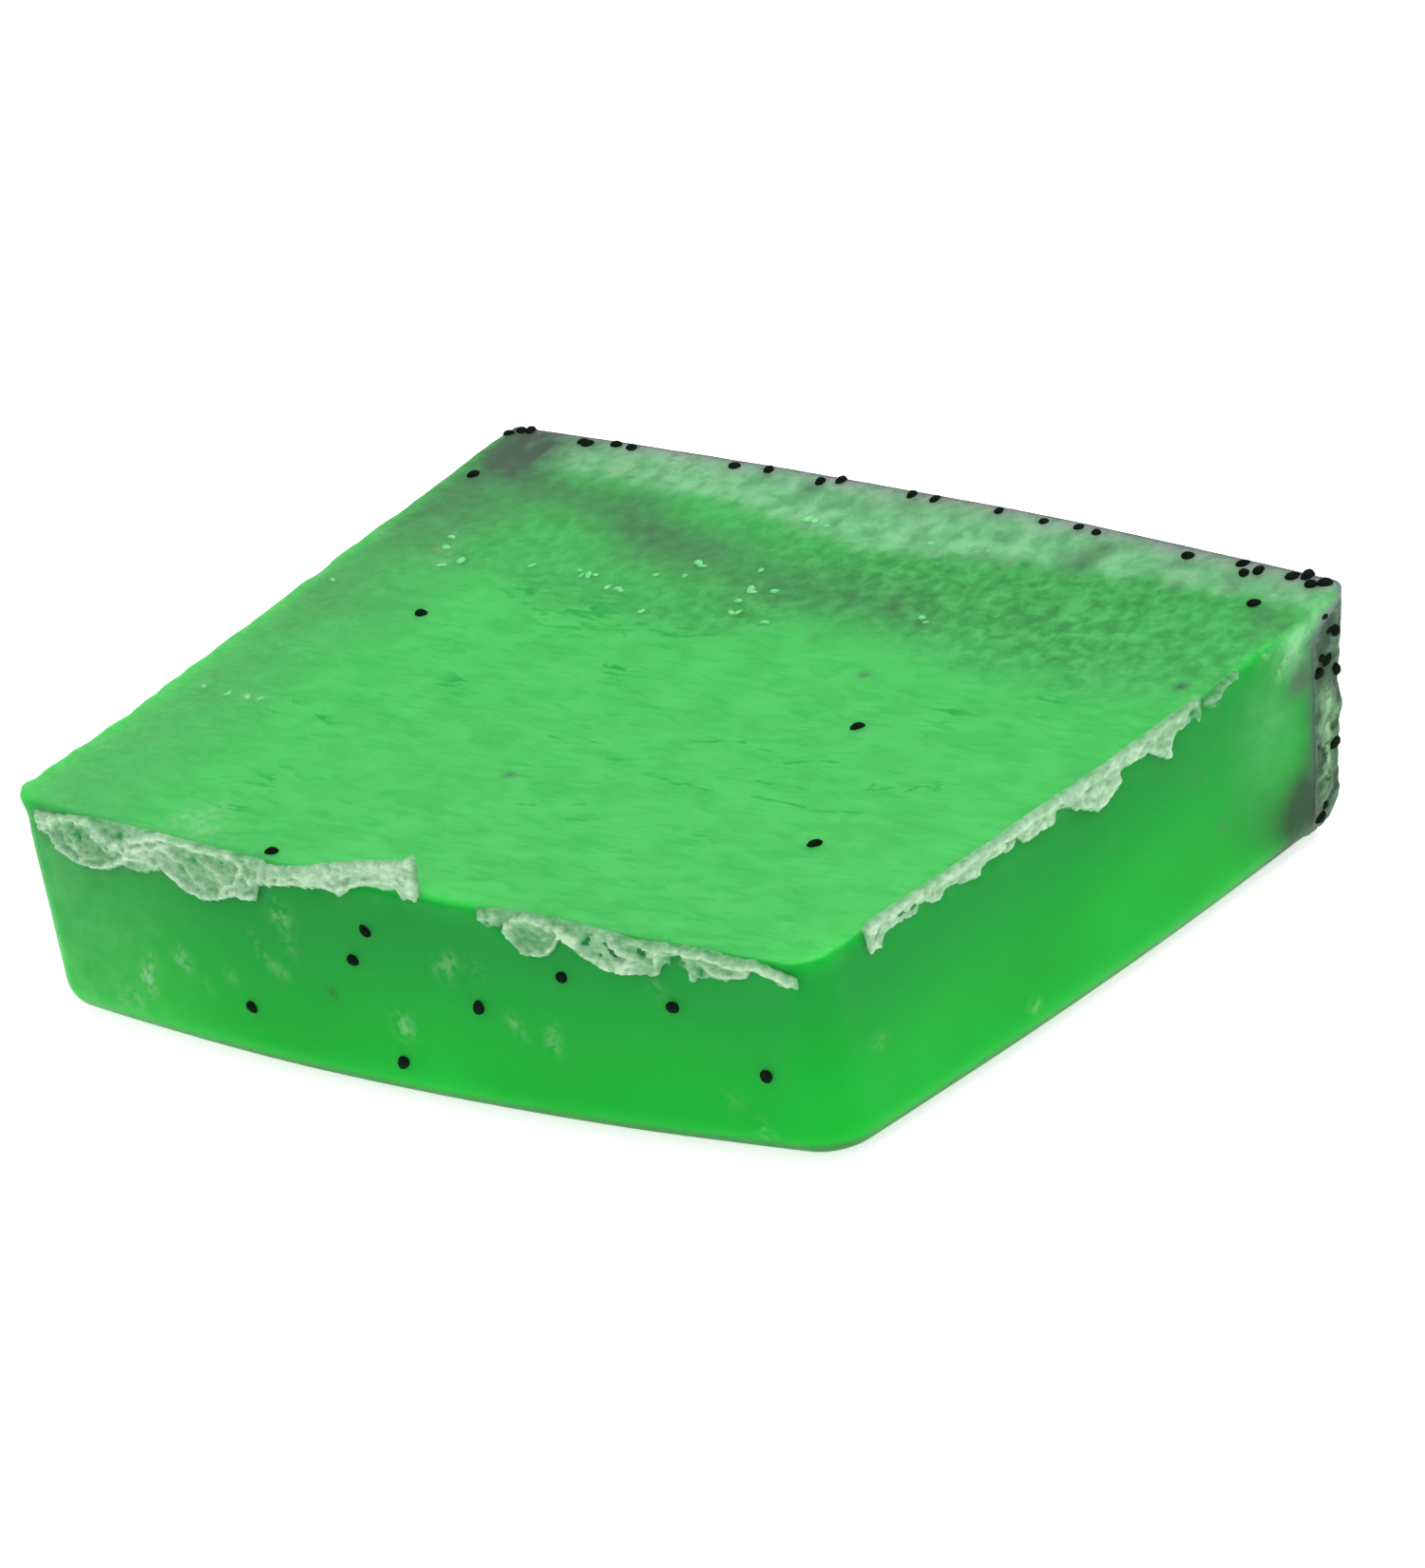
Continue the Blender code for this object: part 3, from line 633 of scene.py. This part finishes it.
# The dark clouds' grey-green: partly clouded soap, partly painted shade.
MURK_AND_SHADE_GREY = (0.072, 0.118, 0.082)
SCUFF = (0.22, 0.56, 0.24)
SOAP_TRANSMISSION, SOAP_ABSORPTION = 0.22, 200.0
SOAP_GLOW = (1.0, (0.22, 1.0, 0.28), 0.007)
SOAP_TINT = (0.03, 0.94, 0.12, 1)
FROTH_GLOW = (0.8, (0.6, 1.0, 0.7), 0.0012)
FILM_GLOW = (0.25, (0.6, 1.0, 0.6), 0.0008)
BUBBLE_GLOW = (0.5, (0.5, 1.0, 0.5), 0.001)
CRUMB_TONES = (
    (0.36, (0.006, 0.022, 0.009)), (0.46, (0.022, 0.068, 0.028)), (0.56, (0.046, 0.124, 0.055)),
    (0.68, (0.12, 0.24, 0.13)),
)
FILM_TONES = (
    (0.05, (0.020, 0.25, 0.045)), (0.30, (0.11, 0.33, 0.135)), (0.55, (0.21, 0.43, 0.23)),
    (0.80, (0.32, 0.53, 0.34)), (1.0, (0.46, 0.66, 0.45)),
)
SEED_TONES = ((0.3, (0.001, 0.004, 0.002)), (0.7, (0.004, 0.012, 0.005)))
BUBBLE_TONES = ((0.35, (0.10, 0.58, 0.16)), (0.65, (0.24, 0.68, 0.28)))


def poured_green(nodes):
    """The finely streaked green of the poured top, with its faint dashes and deeper score lines."""
    streaks = nodes.noise(520, 5, stretch=(0.55, 1, 1), distortion=0.7)
    colour = nodes.ramp(streaks, (0.36, TOP_GREENS[0]), (0.50, TOP_GREENS[1]), (0.66, TOP_GREENS[2]))
    score = nodes.ramp(nodes.noise(1300, 3, stretch=(0.28, 1, 1), distortion=0.6), (0.545, 0.0), (0.585, 1.0))
    dash = nodes.math("MULTIPLY", score, nodes.attribute("dash"), clamp=True)
    colour = nodes.blend(dash, colour, DASH_GREEN)
    ragged = nodes.math("ADD", nodes.attribute("score"), nodes.noise(1500, 5, stretch=(0.5, 1, 1)))
    share = nodes.ramp(nodes.math("MULTIPLY", ragged, 0.5), (0.59, 0.0), (0.75, 0.85))
    return nodes.blend(share, colour, DASH_GREEN)


def marked(nodes, colour):
    """The colour with its mottle, froth, pale flecks and dark clouds, as painted on the mesh. The dark clouds
    are partly painted shade, the mottle's darker greens too, and some pale flecks are a painted highlight.
    """
    for name, shades, size in (("mottle", MOTTLED_AND_SHADED_GREENS, 900), ("froth", FROTHY_GREENS, 560)):
        grain = nodes.noise(size, 7, distortion=0.3)
        patches = nodes.ramp(grain, (0.36, shades[0]), (0.50, shades[1]), (0.66, shades[2]))
        colour = nodes.blend(nodes.attribute(name), colour, patches)
    speckle = nodes.ramp(nodes.noise(1500, 5), (0.42, 0.1), (0.58, 1.0))
    flecks = nodes.math("MULTIPLY", nodes.attribute("pale"), speckle, clamp=True)
    clouding = nodes.math("ADD", 0.55, nodes.math("MULTIPLY", nodes.noise(800, 5), 0.9))
    murk_and_shade = nodes.math("MULTIPLY", nodes.attribute("murk_and_shade"), clouding, clamp=True)
    return nodes.blend(murk_and_shade, nodes.blend(flecks, colour, PALE_GREEN), MURK_AND_SHADE_GREY)


def soap_material():
    soap = Nodes("green_glycerine_soap")
    top = soap.attribute("poured")
    side = soap.ramp(soap.noise(60, 3), (0.35, SIDE_GREENS[0]), (0.65, SIDE_GREENS[1]))
    # Painted shade: the sides darker towards the top, at the foot, by the upright and in patches.
    side = soap.blend(soap.attribute("deep"), side, UPPER_SHADE_GREEN)
    side = soap.blend(soap.attribute("shade"), side, SHADE_GREEN)
    colour = marked(soap, soap.blend(top, side, poured_green(soap)))
    scratch = soap.ramp(soap.noise(1400, 5), (0.42, 0.0), (0.58, 1.0))
    scuffed = soap.math("MULTIPLY", soap.attribute("scuff"), scratch, clamp=True)
    colour = soap.blend(scuffed, colour, SCUFF)
    rough_top = soap.ramp(soap.noise(400, 3), (0.3, 0.34), (0.7, 0.50))
    rough_side = soap.ramp(soap.noise(200, 3), (0.3, 0.30), (0.7, 0.40))
    fine = soap.noise(1500, 5)
    wrinkle = soap.noise(380, 4, stretch=(0.3, 1, 1), distortion=1.0)
    coarse = soap.math("MULTIPLY", soap.attribute("mottle"), soap.noise(260, 3))
    rough = soap.math("MULTIPLY", fine, soap.math("ADD", 0.10, coarse))
    height = soap.math("ADD", rough, soap.math("MULTIPLY", wrinkle, 0.12))
    soap.set(
        Base_Color=colour,
        Roughness=soap.blend(top, rough_side, rough_top),
        Normal=soap.bump(soap.math("MULTIPLY", height, top), 0.00030),
        IOR=1.36,
        Specular_IOR_Level=0.06,
        Transmission_Weight=SOAP_TRANSMISSION,
    )
    soap.glow(*SOAP_GLOW)
    absorb = soap.node("ShaderNodeVolumeAbsorption", Color=SOAP_TINT, Density=SOAP_ABSORPTION)
    soap.tree.links.new(absorb.outputs["Volume"], soap.output.inputs["Volume"])
    return soap.material


def froth_material():
    froth = Nodes("set_froth")
    cloud = froth.noise(700, 6, distortion=0.6)
    crumb = froth.ramp(cloud, *CRUMB_TONES)
    top = froth.attribute("poured")
    colour = marked(froth, froth.blend(top, crumb, poured_green(froth)))
    cells = froth.node("ShaderNodeTexVoronoi", Vector=froth.place, Scale=1100).outputs["Distance"]
    crumbs = froth.math("ADD", cells, froth.noise(700, 4))
    rough = froth.math("MULTIPLY", froth.math("SUBTRACT", 1.0, top), crumbs)
    froth.set(Base_Color=colour, Roughness=0.6, Specular_IOR_Level=0.15, Normal=froth.bump(rough, 0.0003))
    froth.glow(*FROTH_GLOW)
    return froth.material


def film_material():
    film = Nodes("dried_soap_film")
    cloud = film.math("MULTIPLY", film.math("SUBTRACT", film.noise(650, 5, distortion=0.5), 0.5), 0.55)
    fine = film.noise(2200, 4, stretch=(0.6, 0.6, 1))
    flakes = film.math("MULTIPLY", film.math("SUBTRACT", fine, 0.5), 0.90)
    level = film.math("ADD", film.attribute("pale"), film.math("ADD", cloud, flakes))
    normal = film.bump(film.noise(1800, 5), 0.00035)
    film.set(Base_Color=film.ramp(level, *FILM_TONES), Roughness=0.7, Specular_IOR_Level=0.2, Normal=normal)
    film.glow(*FILM_GLOW)
    return film.material


def seed_material():
    seed = Nodes("poppy_seed_coat")
    colour = seed.ramp(seed.noise(900, 3), *SEED_TONES)
    cells = seed.node("ShaderNodeTexVoronoi", Vector=seed.place, Scale=7000).outputs["Distance"]
    seed.set(Base_Color=colour, Roughness=0.8, Specular_IOR_Level=0.06, Normal=seed.bump(cells, 0.00005))
    return seed.material


def bubble_material():
    bubble = Nodes("bubble_skin")
    colour = bubble.ramp(bubble.noise(1500, 3), *BUBBLE_TONES)
    bubble.set(Base_Color=colour, Roughness=0.45, Specular_IOR_Level=0.15)
    bubble.glow(*BUBBLE_GLOW)
    return bubble.material


# ---------------------------------------------------------------- pieces


def joint_wave(points):
    """How far the uneven joint between the soap and its crust lies to the rear, by plan and height."""
    flat = points * (1, 0, 1)
    return sum(height * noise_at(flat, size, seed) for height, size, seed in JOINT_WAVES)


def rim_swell(across, back, up):
    """The slight rise of the rear rim right of its middle."""
    rise = np.exp(-((across - SWELL_CENTRE) / SWELL_REACH) ** 2)
    return SWELL_HEIGHT * rise * smooth_step(0.86, 0.985, back) * smooth_step(0.85, 1.0, up)


def corner_lift(across, back, up):
    """How far the rim of the front left corner turns up."""
    near = np.exp(-(across / CORNER_REACH_ACROSS) ** 2 - (back / CORNER_REACH_BACK) ** 2)
    return CORNER_LIFT * near * smooth_step(0.85, 1.0, up)


def by_stretch(points, line):
    """For each stretch of a line, each point's share along it and distance to it."""
    for start, end in zip(line, line[1:]):
        step = end - start
        share = np.clip((points - start) @ step / (step @ step), 0, 1)
        yield share, np.linalg.norm(points - start - share[:, None] * step, axis=1)


def distance_to(points, line):
    return np.min([distance for _, distance in by_stretch(points, line)], axis=0)


def score_lines(points):
    """How near each point is to one of the deeper score lines, from 0 to 1."""
    nearest = np.full(len(points), np.inf)
    for line in SCORE_LINES:
        places, _ = on_face("top", *np.transpose(line))
        nearest = np.minimum(nearest, distance_to(points, places))
    return np.exp(-(nearest / SCORE_HALF_WIDTH) ** 2)


def wrinkles(points):
    """The height of the fine wrinkles of the poured top."""
    return WRINKLE_HEIGHT * noise_at(points, WRINKLE_SIZE, 7.0, 4)


def lap_over(shares, side):
    """Moves the joint back near the top, where clear soap laps over the crust almost to the rear rim."""
    start = LAP_START - side * LAP_GAP
    lap = LAP_SHARE * smooth_step(start, start + LAP_RISE, shares[:, 2])
    near = smooth_step(0.75, 1 - CRUST_SHARE - 0.001, shares[:, 1]) * (shares[:, 1] < 1)
    reach = np.clip((1 - shares[:, 1]) / CRUST_SHARE, 0, 1)
    return shares + np.column_stack([0 * lap, lap * near * reach, 0 * lap])


def top_zones(points, across, back):
    """How strongly the froth, mottle, band of painted shade, painted shade along the left side and dashes show
    at each point of the top.
    """
    drift = noise_at(points, DRIFT_SIZE, 5.0, 2)
    grain = noise_at(points, GRAIN_SIZE, 15.0, 2)
    wander = DRIFT_SHARE * drift + GRAIN_SHARE * grain
    froth = smooth_step(-0.014, 0.018, back + wander - np.interp(across, *np.transpose(FROTH_EDGE)))
    beyond = back + wander - np.interp(across, *np.transpose(MOTTLE_EDGE))
    mottle = smooth_step(-0.012 - 0.05 * across, 0.035 + 0.05 * across, beyond)
    mottle *= 0.45 + 0.40 * smooth_step(0.30, 0.62, across) - 0.15 * smooth_step(0.75, 0.95, across)
    line = np.array(SHADE_BAND)
    places, _ = on_face("top", line[:, 0], line[:, 1])
    dark = np.zeros(len(points))
    for (share, distance), one, other in zip(by_stretch(points, places), line[:, 2], line[1:, 2]):
        reach = distance / SHADE_BAND_HALF_WIDTH
        dark = np.maximum(dark, mix(one, other, share) * np.exp(-(reach + 0.35 * grain) ** 2))
    left_shade = np.interp(back, *np.transpose(LEFT_SHADE)) * (1 - smooth_step(0.02, 0.20, across + 0.03 * drift))
    dashes = 0.22 + 0.10 * drift + blobs(points, "top", TOP_DASHES)
    return froth, mottle, dark, left_shade, dashes


def slab_block(name, cells, side, low=(0, 0, 0), high=(1, 1, 1)):
    """A part of the rounded slab, and which of its points are at the joint and how far each is on the top."""
    mesh, shares = block_mesh(name, cells, low, high)
    at_joint = np.abs(shares[:, 1] - (1 - CRUST_SHARE)) <= JOINT_GAP_SHARE
    shares = lap_over(shares, side)
    points = slab_points(round_edges(shares))
    write_points(mesh, points)
    normals = read_normals(mesh)
    top = smooth_step(0.5, 0.9, normals[:, 2]) * (shares[:, 2] == 1)
    return mesh, shares, points, normals, at_joint, top


def bend_joint(points, up, at_joint):
    """Moves the points at the joint by its waves, but not at the foot or where the soap laps over."""
    inset = smooth_step(0, 0.002, points[:, 2]) * smooth_step(LAP_START, LAP_START - 0.1, up)
    points[:, 1] += joint_wave(points) * at_joint * inset


def make_body(material):
    rear = 1 - CRUST_SHARE - JOINT_GAP_SHARE / 2
    block = slab_block("soap_slab", BODY_CELLS, 1, high=(1, rear, 1))
    mesh, shares, points, normals, at_joint, top = block
    across, back, up = shares.T
    side = 1 - np.abs(normals[:, 2])
    joint = smooth_step(1 - CRUST_SHARE - 0.02, 1 - CRUST_SHARE - 0.004, back) * (up < LAP_START)
    wave = WAVE_HEIGHT * noise_at(points, WAVE_SIZE, 3.0) * (0.3 + side)
    wrinkle = wrinkles(points) * top
    rim = np.exp(-np.minimum(across, 1 - across) / RIPPLE_REACH_SIDES) + np.exp(-back / RIPPLE_REACH_FRONT)
    ripple = RIPPLE_HEIGHT * noise_at(points, RIPPLE_SIZE, 11.0, 2) * rim * smooth_step(0.80, 0.97, up)
    lip = LIP_HEIGHT * np.exp(-(across / LIP_REACH_ACROSS) ** 2 - (back / LIP_REACH_BACK) ** 2)
    lip = lip * smooth_step(0.93, 0.985, up) * side
    keep_flat = smooth_step(0, 0.0006, points[:, 2])
    points += normals * ((wave + wrinkle + ripple + lip) * keep_flat * (1 - joint))[:, None]
    bend_joint(points, up, at_joint)
    points[:, 2] += rim_swell(across, back, up) + corner_lift(across, back, up)
    write_points(mesh, points)
    paint_body(mesh, points, shares, top)
    return add_piece("soap_slab", mesh, material, ["soap_body"])


def paint_body(mesh, points, shares, top):
    """Paints the body's zones and marks: the poured top's, then the sides'."""
    across, back, up = shares.T
    froth, mottle, dark, left_shade, dashes = top_zones(points, across, back)
    paint(mesh, "poured", top)
    grey_left = 0.25 * (1 - smooth_step(0.0, 0.30, across)) * (1 - smooth_step(0.0, 0.45, back))
    paint(mesh, "froth", froth * top + (grey_left + blobs(points, "right", RIGHT_FROTH)) * (1 - top))
    paint(mesh, "mottle", mottle * top)
    paint(mesh, "dash", dashes * top)
    edge = 0.5 * smooth_step(0.955, 0.986, back) * top * smooth_step(0.06, 0.12, across)
    edge += 0.16 * (1 - smooth_step(0.02, 0.16, across)) * (1 - smooth_step(0.80, 0.90, back)) * top
    paint(mesh, "pale", edge + blobs(points, "top", TOP_PALE) + blobs(points, "right", RIGHT_PALE_AND_HIGHLIGHT))
    paint(mesh, "score", score_lines(points) * top)
    # Painted shade on the top: the dark band, the left side and the seeds seen through, partly clouded soap.
    clouds_and_shade_on_top = (np.maximum(dark, left_shade) + blobs(points, "top", TOP_MURK_AND_SHADE)) * top
    paint(mesh, "murk_and_shade", clouds_and_shade_on_top + blobs(points, "right", RIGHT_MURK_AND_SHADE) * (1 - top))
    # Painted shade: the sides darker towards the top.
    paint(mesh, "deep", 0.85 * smooth_step(0.15, 0.90, up) * (1 - top))
    foot = 0.75 * (1 - smooth_step(0.03, 0.12, up))
    upright = 0.45 * np.exp(-(across / 0.010) ** 2 - (back / 0.02) ** 2)
    shade = (foot + upright) * (1 - top)
    paint(mesh, "shade", shade + blobs(points, "right", RIGHT_SHADE) + blobs(points, "front", FRONT_SHADE))
    paint(mesh, "scuff", blobs(points, "front", FRONT_SCUFFS))


def make_crust(material):
    front = 1 - CRUST_SHARE + JOINT_GAP_SHARE / 2
    block = slab_block("froth_layer", CRUST_CELLS, 0, low=(0, front, 0))
    mesh, shares, points, normals, at_joint, top = block
    across, back, up = shares.T
    still = at_joint | ((up > LAP_START - 0.02) & (back < 0.99))
    keep_flat = smooth_step(0, 0.0008, points[:, 2])
    outer = smooth_step(1 - 0.5 * CRUST_SHARE, 1, back)
    lumps = LUMP_HEIGHT * noise_at(points, LUMP_SIZE) * outer
    lumps += CRUMB_HEIGHT * noise_at(points, CRUMB_SIZE, 5.0, 3)
    lumps *= (1 - top) * smooth_step(1.0, 0.985, up * (back > 0.99))
    lumps = np.maximum(lumps, -0.001 * (1 - smooth_step(LAP_START - 0.06, LAP_START, up)))
    rimmed = np.maximum(top, smooth_step(0.955, 0.975, up) * (across < 0.999))
    points += normals * ((lumps + wrinkles(points) * top) * keep_flat * (1 - still))[:, None]
    bend_joint(points, up, at_joint)
    points[:, 2] += rim_swell(across, back, up)
    write_points(mesh, points)

    end = across > 0.999
    # On the end: darker along the joint and in a band high up, and painted shade towards the foot.
    murk_and_shade = 0.85 * np.exp(-((back - (1 - CRUST_SHARE)) / 0.006) ** 2) * end
    murk_and_shade += 0.32 * smooth_step(0.62, 0.72, up) * smooth_step(0.98, 0.86, up) * end
    murk_and_shade += 0.9 * smooth_step(0.22, 0.08, up) * end
    pale = 0.55 * np.exp(-((back - 0.963) / 0.012) ** 2)
    pale = pale * smooth_step(0.12, 0.3, up) * smooth_step(0.66, 0.58, up)
    pale = (pale + 0.15 * smooth_step(0.88, 0.96, up)) * end
    _, _, dark, left_shade, _ = top_zones(points, across, back)
    paint(mesh, "poured", top)
    paint(mesh, "froth", rimmed)
    for absent in ("mottle", "dash", "score"):
        paint(mesh, absent, 0 * top)
    # The top's painted shade, as on the soap.
    paint(mesh, "murk_and_shade", murk_and_shade + (np.maximum(dark, left_shade) + blobs(points, "top", TOP_MURK_AND_SHADE)) * top)
    paint(mesh, "pale", pale + blobs(points, "top", TOP_PALE) * top)
    return add_piece("froth_layer", mesh, material, ["foam_crust"])


def make_film(name, film, material):
    """One film: a thin ragged sheet on a side of the soap, thicker along its strands."""
    lower, upper, pale = (np.array(film[key]).T for key in ("lower", "upper", "pale"))
    start, end = lower[0][0], lower[0][-1]
    scale = np.array([LENGTH if film["side"] == "front" else DEPTH, FRONT_THICKNESS])
    columns = round((end - start) * scale[0] / FILM_STEP)
    mesh, shares = block_mesh(name, (columns, FILM_LAYERS, FILM_ROWS))
    share = mix(start, end, shares[:, 0])
    ragged = noise_at(np.column_stack([share * scale[0], 0 * share, 0 * share]), RAGGED_SIZE, 3.0, 3)
    low = np.interp(share, *lower) + RAGGED_LOWER * ragged
    high = np.interp(share, *upper) + RAGGED_UPPER * ragged
    height = mix(low, high, shares[:, 2])
    flat = np.column_stack([share, height]) * scale
    edge = np.minimum(np.minimum(share - start, end - share) * scale[0], (height - low) * scale[1])
    taper = smooth_step(-0.00002, FILM_TAPER, np.minimum(edge, (high - height) * scale[1] + 0.00010))
    cloud = noise_at(np.column_stack([flat, 0 * share]), CLOUD_SIZE, 9.0, 3)
    flakes = noise_at(np.column_stack([flat, 0 * share]), FLAKE_SIZE, 4.0, 2)
    stand = FILM_BASE * (1 + 0.8 * cloud + 0.6 * flakes)
    paleness = np.interp(share, *pale) + 0.10 * cloud + 0.08 * flakes
    for line, width, rise, light in film["strands"]:
        near = np.exp(-(distance_to(flat, np.array(line) * scale) / (width / 1000)) ** 2)
        stand += STRAND_RISE * rise / 1000 * near * (1 + 0.7 * cloud)
        paleness += light * near * (0.8 + 0.6 * flakes)
    for first, second, radius, depth in film["thin"]:
        squared = ((flat - np.array((first, second)) * scale) ** 2).sum(axis=1)
        near = np.exp(-squared / (radius / 1000) ** 2)
        stand -= THIN_DEPTH * depth * near
        paleness -= depth * near
    stand = np.maximum(stand, FILM_LEAST) * taper
    point, outward = on_face(film["side"], share, height)
    offset = mix(-FILM_SINK, stand, shares[:, 1])
    write_points(mesh, point + outward * offset[:, None])
    paint(mesh, "pale", paleness * (0.6 + 0.4 * taper))
    return add_piece(name, mesh, material, [film["replaces"]])


def seed_form():
    """The points and triangles of one kidney-shaped poppy seed."""
    shape = bmesh.new()
    bmesh.ops.create_icosphere(shape, subdivisions=2, radius=1)
    points = np.array([v.co[:] for v in shape.verts])
    faces = np.array([[v.index for v in face.verts] for face in shape.faces])
    shape.free()
    points[:, 1] += SEED_BEND * (points[:, 0] ** 2 - 0.5)
    return points, faces


def scatter_mesh(name, places, outwards, sizes, random, flat=0.25):
    """Copies of the seed form at these places, lying nearly flat on their surface, as one mesh."""
    form, triangles = seed_form()
    points, faces = [], []
    for place, outward, size in zip(places, outwards, sizes):
        spin = Quaternion(Vector(outward), random.uniform(0, ALMOST_FULL_TURN))
        tilt = Quaternion(Vector((1, 0, 0)), random.uniform(-flat, flat))
        turn = spin @ Vector((0, 0, 1)).rotation_difference(Vector(outward)) @ tilt
        faces.append(triangles + len(form) * len(points))
        points.append((form * size) @ np.array(turn.to_matrix()).T + place)
    mesh = bpy.data.meshes.new(name)
    mesh.from_pydata(np.concatenate(points).tolist(), [], np.concatenate(faces).tolist())
    mesh.update()
    return mesh


def face_places(face, spots, sink):
    """Places sunk into a face at these shares, and the directions out of it."""
    spots = np.array(spots)
    point, outward = on_face(face, spots[:, 0], spots[:, 1])
    return point - outward * sink, outward


def make_seeds(material):
    random = np.random.default_rng(7)
    rear_along = random.uniform(0.02, 0.98, REAR_FACE_SEEDS)
    rear_up = random.uniform(0.08, 0.95, REAR_FACE_SEEDS)
    groups = [
        face_places("top", RIM_SEEDS, RIM_SINK),
        face_places("right", END_SEEDS, END_SINK),
        face_places("rear", np.column_stack([rear_along, rear_up]), RIM_SINK),
    ]
    low_right = random.uniform(0, 1, (JOINT_SEEDS, 3)) ** (0.7, 1, 1.3)
    shares = np.column_stack([
        low_right[:, 0], np.full(JOINT_SEEDS, 1 - CRUST_SHARE), 0.04 + 0.92 * low_right[:, 2]
    ])
    groups.append((slab_points(shares) + (0, JOINT_SINK, 0), np.tile((0.0, -1.0, 0.0), (JOINT_SEEDS, 1))))
    places, outwards = (np.concatenate(parts) for parts in zip(*groups))
    sizes = np.array(SEED_HALF_SIZES) * random.uniform(0.8, 1.1, (len(places), 1))
    add_piece("crust_seeds", scatter_mesh("crust_seeds", places, outwards, sizes, random), material)

    inner = slab_points(INNER_SEEDS)
    upward = np.tile((0.0, 0.0, 1.0), (len(inner), 1))
    sizes = np.tile(SEED_HALF_SIZES, (len(inner), 1))
    add_piece("inner_seeds", scatter_mesh("inner_seeds", inner, upward, sizes, random, 1.0), material)


def make_bubbles(material):
    random = np.random.default_rng(3)
    spots = np.array(BUBBLES)
    point, outward = on_face("top", spots[:, 0], spots[:, 1])
    radius = BUBBLE_GROWTH * spots[:, 2:] / 1000
    sizes = radius * BUBBLE_FORM * random.uniform(0.8, 1.2, (len(spots), 3))
    mesh = scatter_mesh("skin_bubbles", point - outward * radius * BUBBLE_SINK, outward, sizes, random, 0.2)
    add_piece("skin_bubbles", mesh, material)


# ---------------------------------------------------------------- light, floor and camera

WORLD_LIGHT = 0.52
FLOOR_LIGHT = 0.68
FLOOR_HALF, FLOOR_DROP = 3.0, 0.00005
LIGHTS = (
    ("overhead_softbox", (0.08, 0.10, 0.60), 0.7, 3.4),
    ("front_softbox", (0.25, -0.65, 0.45), 0.5, 0.8),
)
AZIMUTH, ELEVATION, ROLL = math.radians(44.5), math.radians(25.1), -0.2
TARGET, DISTANCE, LENS = Vector((0.0004, 0.0038, 0.0080)), 0.315, 100.0


def make_stage():
    floor_mesh = bpy.data.meshes.new("floor")
    corners = [(x * FLOOR_HALF, y * FLOOR_HALF, 0) for x, y in ((-1, -1), (1, -1), (1, 1), (-1, 1))]
    floor_mesh.from_pydata(corners, [], [(0, 1, 2, 3)])
    floor = bpy.data.objects.new("floor", floor_mesh)
    floor.location.z = -FLOOR_DROP
    bpy.context.scene.collection.objects.link(floor)
    pale = Nodes("pale_floor")
    pale.set(Base_Color=(0.93, 0.93, 0.93, 1), Roughness=0.9, Specular_IOR_Level=0.0)
    pale.set(Emission_Color=(1, 1, 1, 1), Emission_Strength=FLOOR_LIGHT)
    floor_mesh.materials.append(pale.material)

    world = bpy.data.worlds.new("studio")
    bpy.context.scene.world = world
    world.use_nodes = True
    world.node_tree.nodes["Background"].inputs["Color"].default_value = (1, 1, 1, 1)
    world.node_tree.nodes["Background"].inputs["Strength"].default_value = WORLD_LIGHT
    for name, place, size, power in LIGHTS:
        lamp = bpy.data.lights.new(name, "AREA")
        lamp.shape, lamp.size, lamp.energy = "DISK", size, power
        obj = bpy.data.objects.new(name, lamp)
        obj.location = place
        obj.rotation_euler = (-Vector(place)).to_track_quat("-Z", "Y").to_euler()
        bpy.context.scene.collection.objects.link(obj)


def make_camera():
    data = bpy.data.cameras.new("camera")
    data.lens, data.sensor_width = LENS, 36.0
    data.clip_start, data.clip_end = 0.01, 20.0
    camera = bpy.data.objects.new("camera", data)
    back = Vector((
        math.sin(AZIMUTH) * math.cos(ELEVATION), -math.cos(AZIMUTH) * math.cos(ELEVATION), math.sin(ELEVATION)
    ))
    camera.location = TARGET + back * DISTANCE
    level = (-back).to_track_quat("-Z", "Y")
    camera.rotation_mode = "QUATERNION"
    camera.rotation_quaternion = Quaternion(back, ROLL) @ level
    bpy.context.scene.collection.objects.link(camera)
    bpy.context.scene.camera = camera


def main():
    scene = bpy.context.scene
    scene.view_settings.view_transform = "Standard"
    scene.cycles.max_bounces = 16
    scene.cycles.transmission_bounces = 12
    make_stage()
    make_camera()
    seeds = seed_material()
    for name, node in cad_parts.items():
        if name.startswith("seed"):
            for slot in node.material_slots:
                slot.material = seeds
    make_body(soap_material())
    make_crust(froth_material())
    films = film_material()
    for name, film in FILMS.items():
        make_film(name, film, films)
    make_seeds(seeds)
    make_bubbles(bubble_material())


main()
